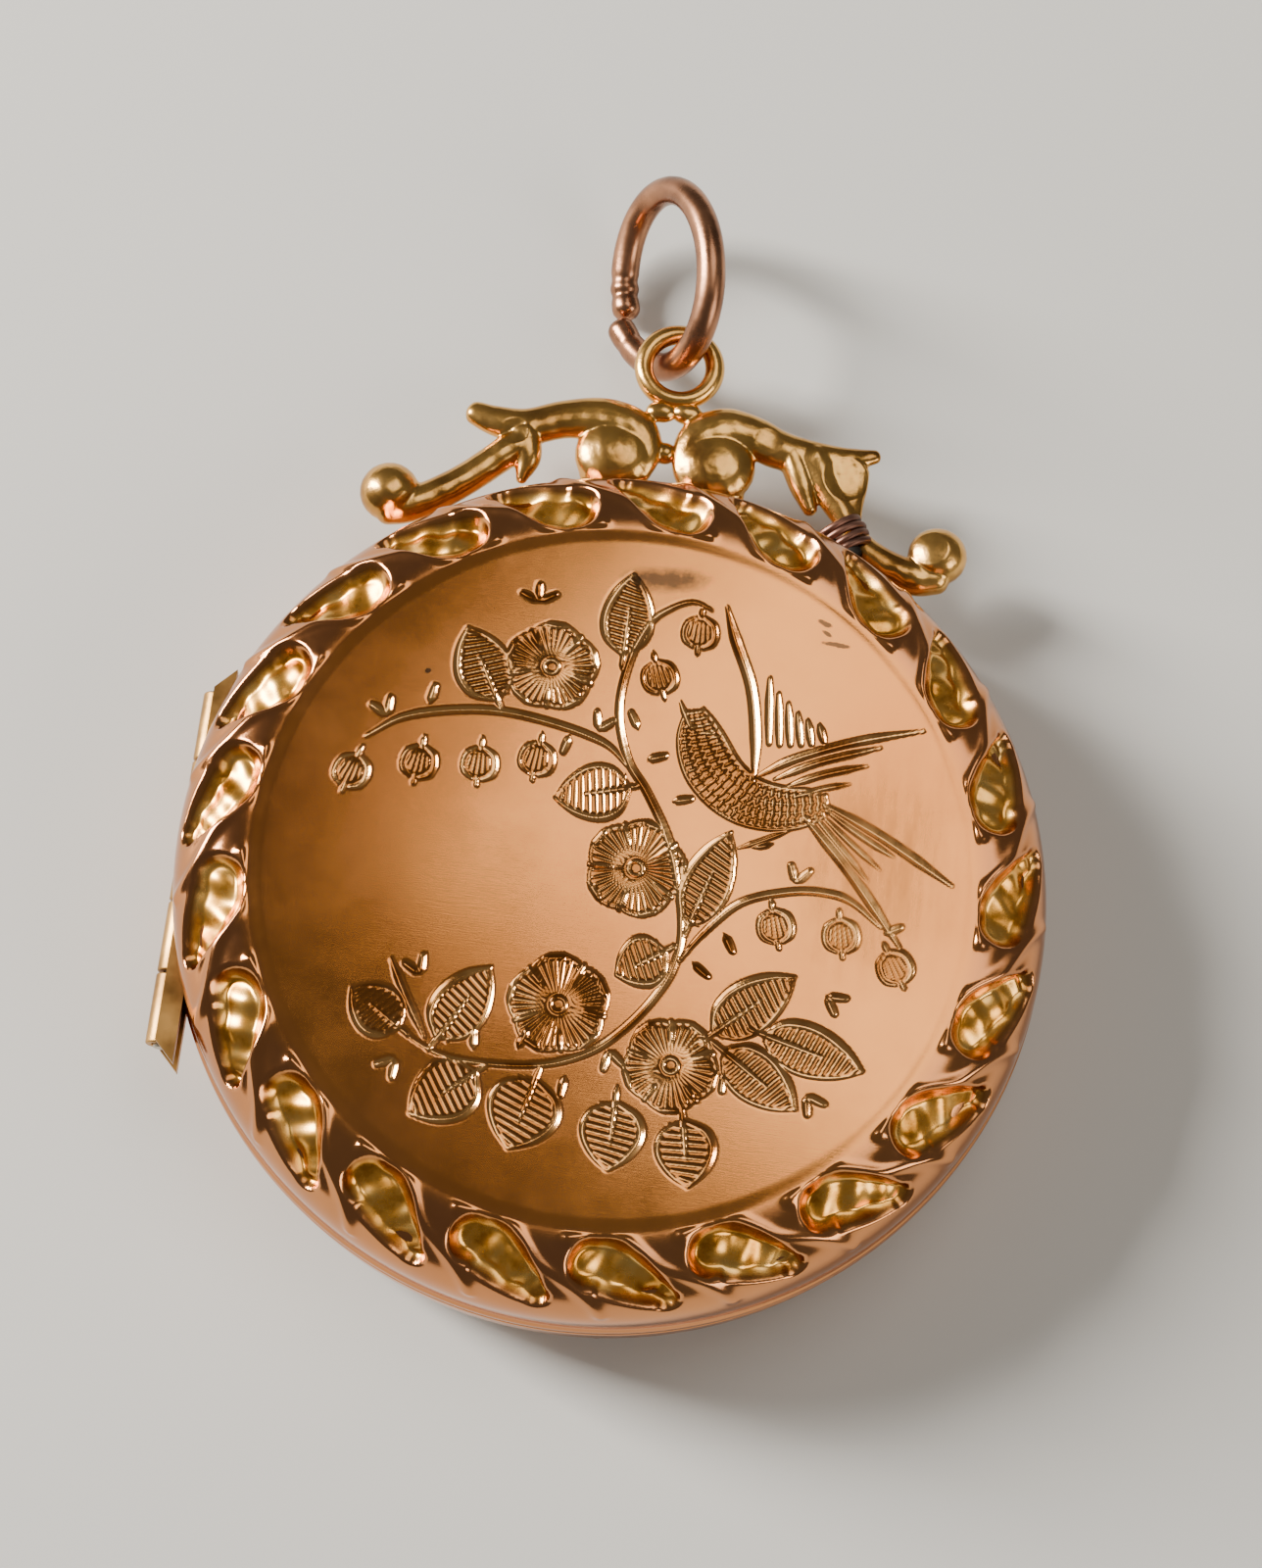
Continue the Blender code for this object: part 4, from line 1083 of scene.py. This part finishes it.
lump_low, lump_high = node_box("repair_solder")
lump = (lump_low + lump_high) / 2
blob = sculpt("solder_detail", [
    globe((lump[0] - 0.75, lump[1] + 0.05, lump[2] - 0.42), (0.40, 0.34, 0.34)),
    globe((lump[0] - 0.35, lump[1] + 0.02, lump[2] - 0.22), (0.34, 0.26, 0.26)),
    globe((lump[0] - 1.05, lump[1] + 0.22, lump[2] - 0.55), (0.30, 0.34, 0.30)),
    globe((lump[0] - 0.55, lump[1] - 0.22, lump[2] - 0.55), (0.26, 0.2, 0.24)),
], [], BURNT, 0.05, 2)
own(blob, "repair_solder", BODY_BACK)

# ---- jump ring ------------
RING_R = 3.275
RING_WIRE = 0.525
RING_OVAL = 0.80
RING_CLEAR = 0.25
RING_REST = math.radians(-3)
RING_SPLIT = 263.0
RING_GAP = 17.0
RING_STEPS = 240
RING_SPREAD = 0.40  # how far one end of the split stands out of the ring's plane
RING_SPAN = 356  # the places of the pinches are counted from the ends in this many parts
RING_SLIM = 0.975  # keeps the wire inside the CAD solid


def bell(place, centre, width):
    return math.exp(-((place - centre) / width) ** 2)


ahead = (RING_HOOK - Vector((0.0, BAIL_Y, CROWN_Z))).normalized()
ring_up = RING_AXIS.cross(ahead).normalized()
lifted = Matrix.Rotation(RING_REST, 3, RING_AXIS)
ring_mid = ahead * (RING_R - RING_WIRE - RING_CLEAR - BAIL_WIRE)
path, radii = [], []
for i in range(RING_STEPS + 1):
    share = i / RING_STEPS
    a = math.radians(RING_SPLIT + RING_GAP / 2 + share * (360 - RING_GAP))
    spoke = ring_mid + RING_R * (ahead * math.cos(a) + ring_up * RING_OVAL * math.sin(a))
    spring = max(0.0, 1 - (1 - share) / 0.17)
    spoke -= RING_AXIS * RING_SPREAD * spring ** 1.6
    path.append(RING_HOOK + lifted @ spoke)
    start, end = share * RING_SPAN, (1 - share) * RING_SPAN
    pinch = 0.10 * bell(start, 9, 3.0) + 0.08 * bell(start, 20, 3.5) + 0.06 * bell(end, 12, 3.5)
    swell = 0.03 * bell(start, 14, 3.0)
    radii.append(RING_WIRE * (1 - pinch + swell) * RING_SLIM)
points, faces = tube(path, radii, 24, up=tuple(RING_AXIS))
ring = make("jump_ring_detail", points, faces, COPPER)
own(ring, "jump_ring", BODY_RING)

# ---- floor, light and camera ------------
FLOOR_HALF = 900
FLOOR_Z = -0.02
floor_mat = bpy.data.materials.new("pale_floor")
floor_mat.use_nodes = True
floor_shader = floor_mat.node_tree.nodes["Principled BSDF"]
floor_shader.inputs["Base Color"].default_value = (0.62, 0.62, 0.60, 1.0)
floor_shader.inputs["Roughness"].default_value = 0.9
corners = ((-1, -1), (1, -1), (1, 1), (-1, 1))
floor = make("floor", [(x * FLOOR_HALF, y * FLOOR_HALF, FLOOR_Z) for x, y in corners],
             [(0, 1, 2, 3)], floor_mat, False)

world = bpy.data.worlds.new("studio")
bpy.context.scene.world = world
world.use_nodes = True
world.node_tree.nodes["Background"].inputs["Color"].default_value = (0.88, 0.85, 0.81, 1.0)
world.node_tree.nodes["Background"].inputs["Strength"].default_value = 0.15


def softbox(name, place, width, height, energy, colour):
    """An area light at place, turned to the origin."""
    data = bpy.data.lights.new(name, "AREA")
    data.shape = "RECTANGLE"
    data.size = width * MM
    data.size_y = height * MM
    data.energy = energy
    data.color = colour
    lamp = add_object(name, data)
    lamp.location = Vector(place) * MM
    lamp.rotation_euler = (-Vector(place)).to_track_quat("-Z", "Y").to_euler()


softbox("overhead", (92, 126, 380), 230, 200, 0.32, (1.0, 0.92, 0.82))
softbox("window", (-320, 90, 185), 100, 210, 4.2, (1.0, 0.95, 0.88))
softbox("fill", (300, -120, 200), 200, 160, 0.5, (1.0, 0.92, 0.82))

CAMERA_TILT = math.radians(17.22)
CAMERA_ROLL = math.radians(7.42)
CAMERA_PLACE = Vector((0.84, 4.90, 120.0))
CAMERA_LENS = 80.24
turned = Matrix.Rotation(CAMERA_TILT, 3, "X") @ Matrix.Rotation(CAMERA_ROLL, 3, "Z")
camera_data = bpy.data.cameras.new("photo_view")
camera_data.sensor_width = 36.0
camera_data.lens = CAMERA_LENS
camera_data.clip_start = 0.005
camera_data.clip_end = 20.0
camera = add_object("photo_view", camera_data)
camera.matrix_world = Matrix.Translation(turned @ CAMERA_PLACE * MM) @ turned.to_4x4()
bpy.context.scene.camera = camera
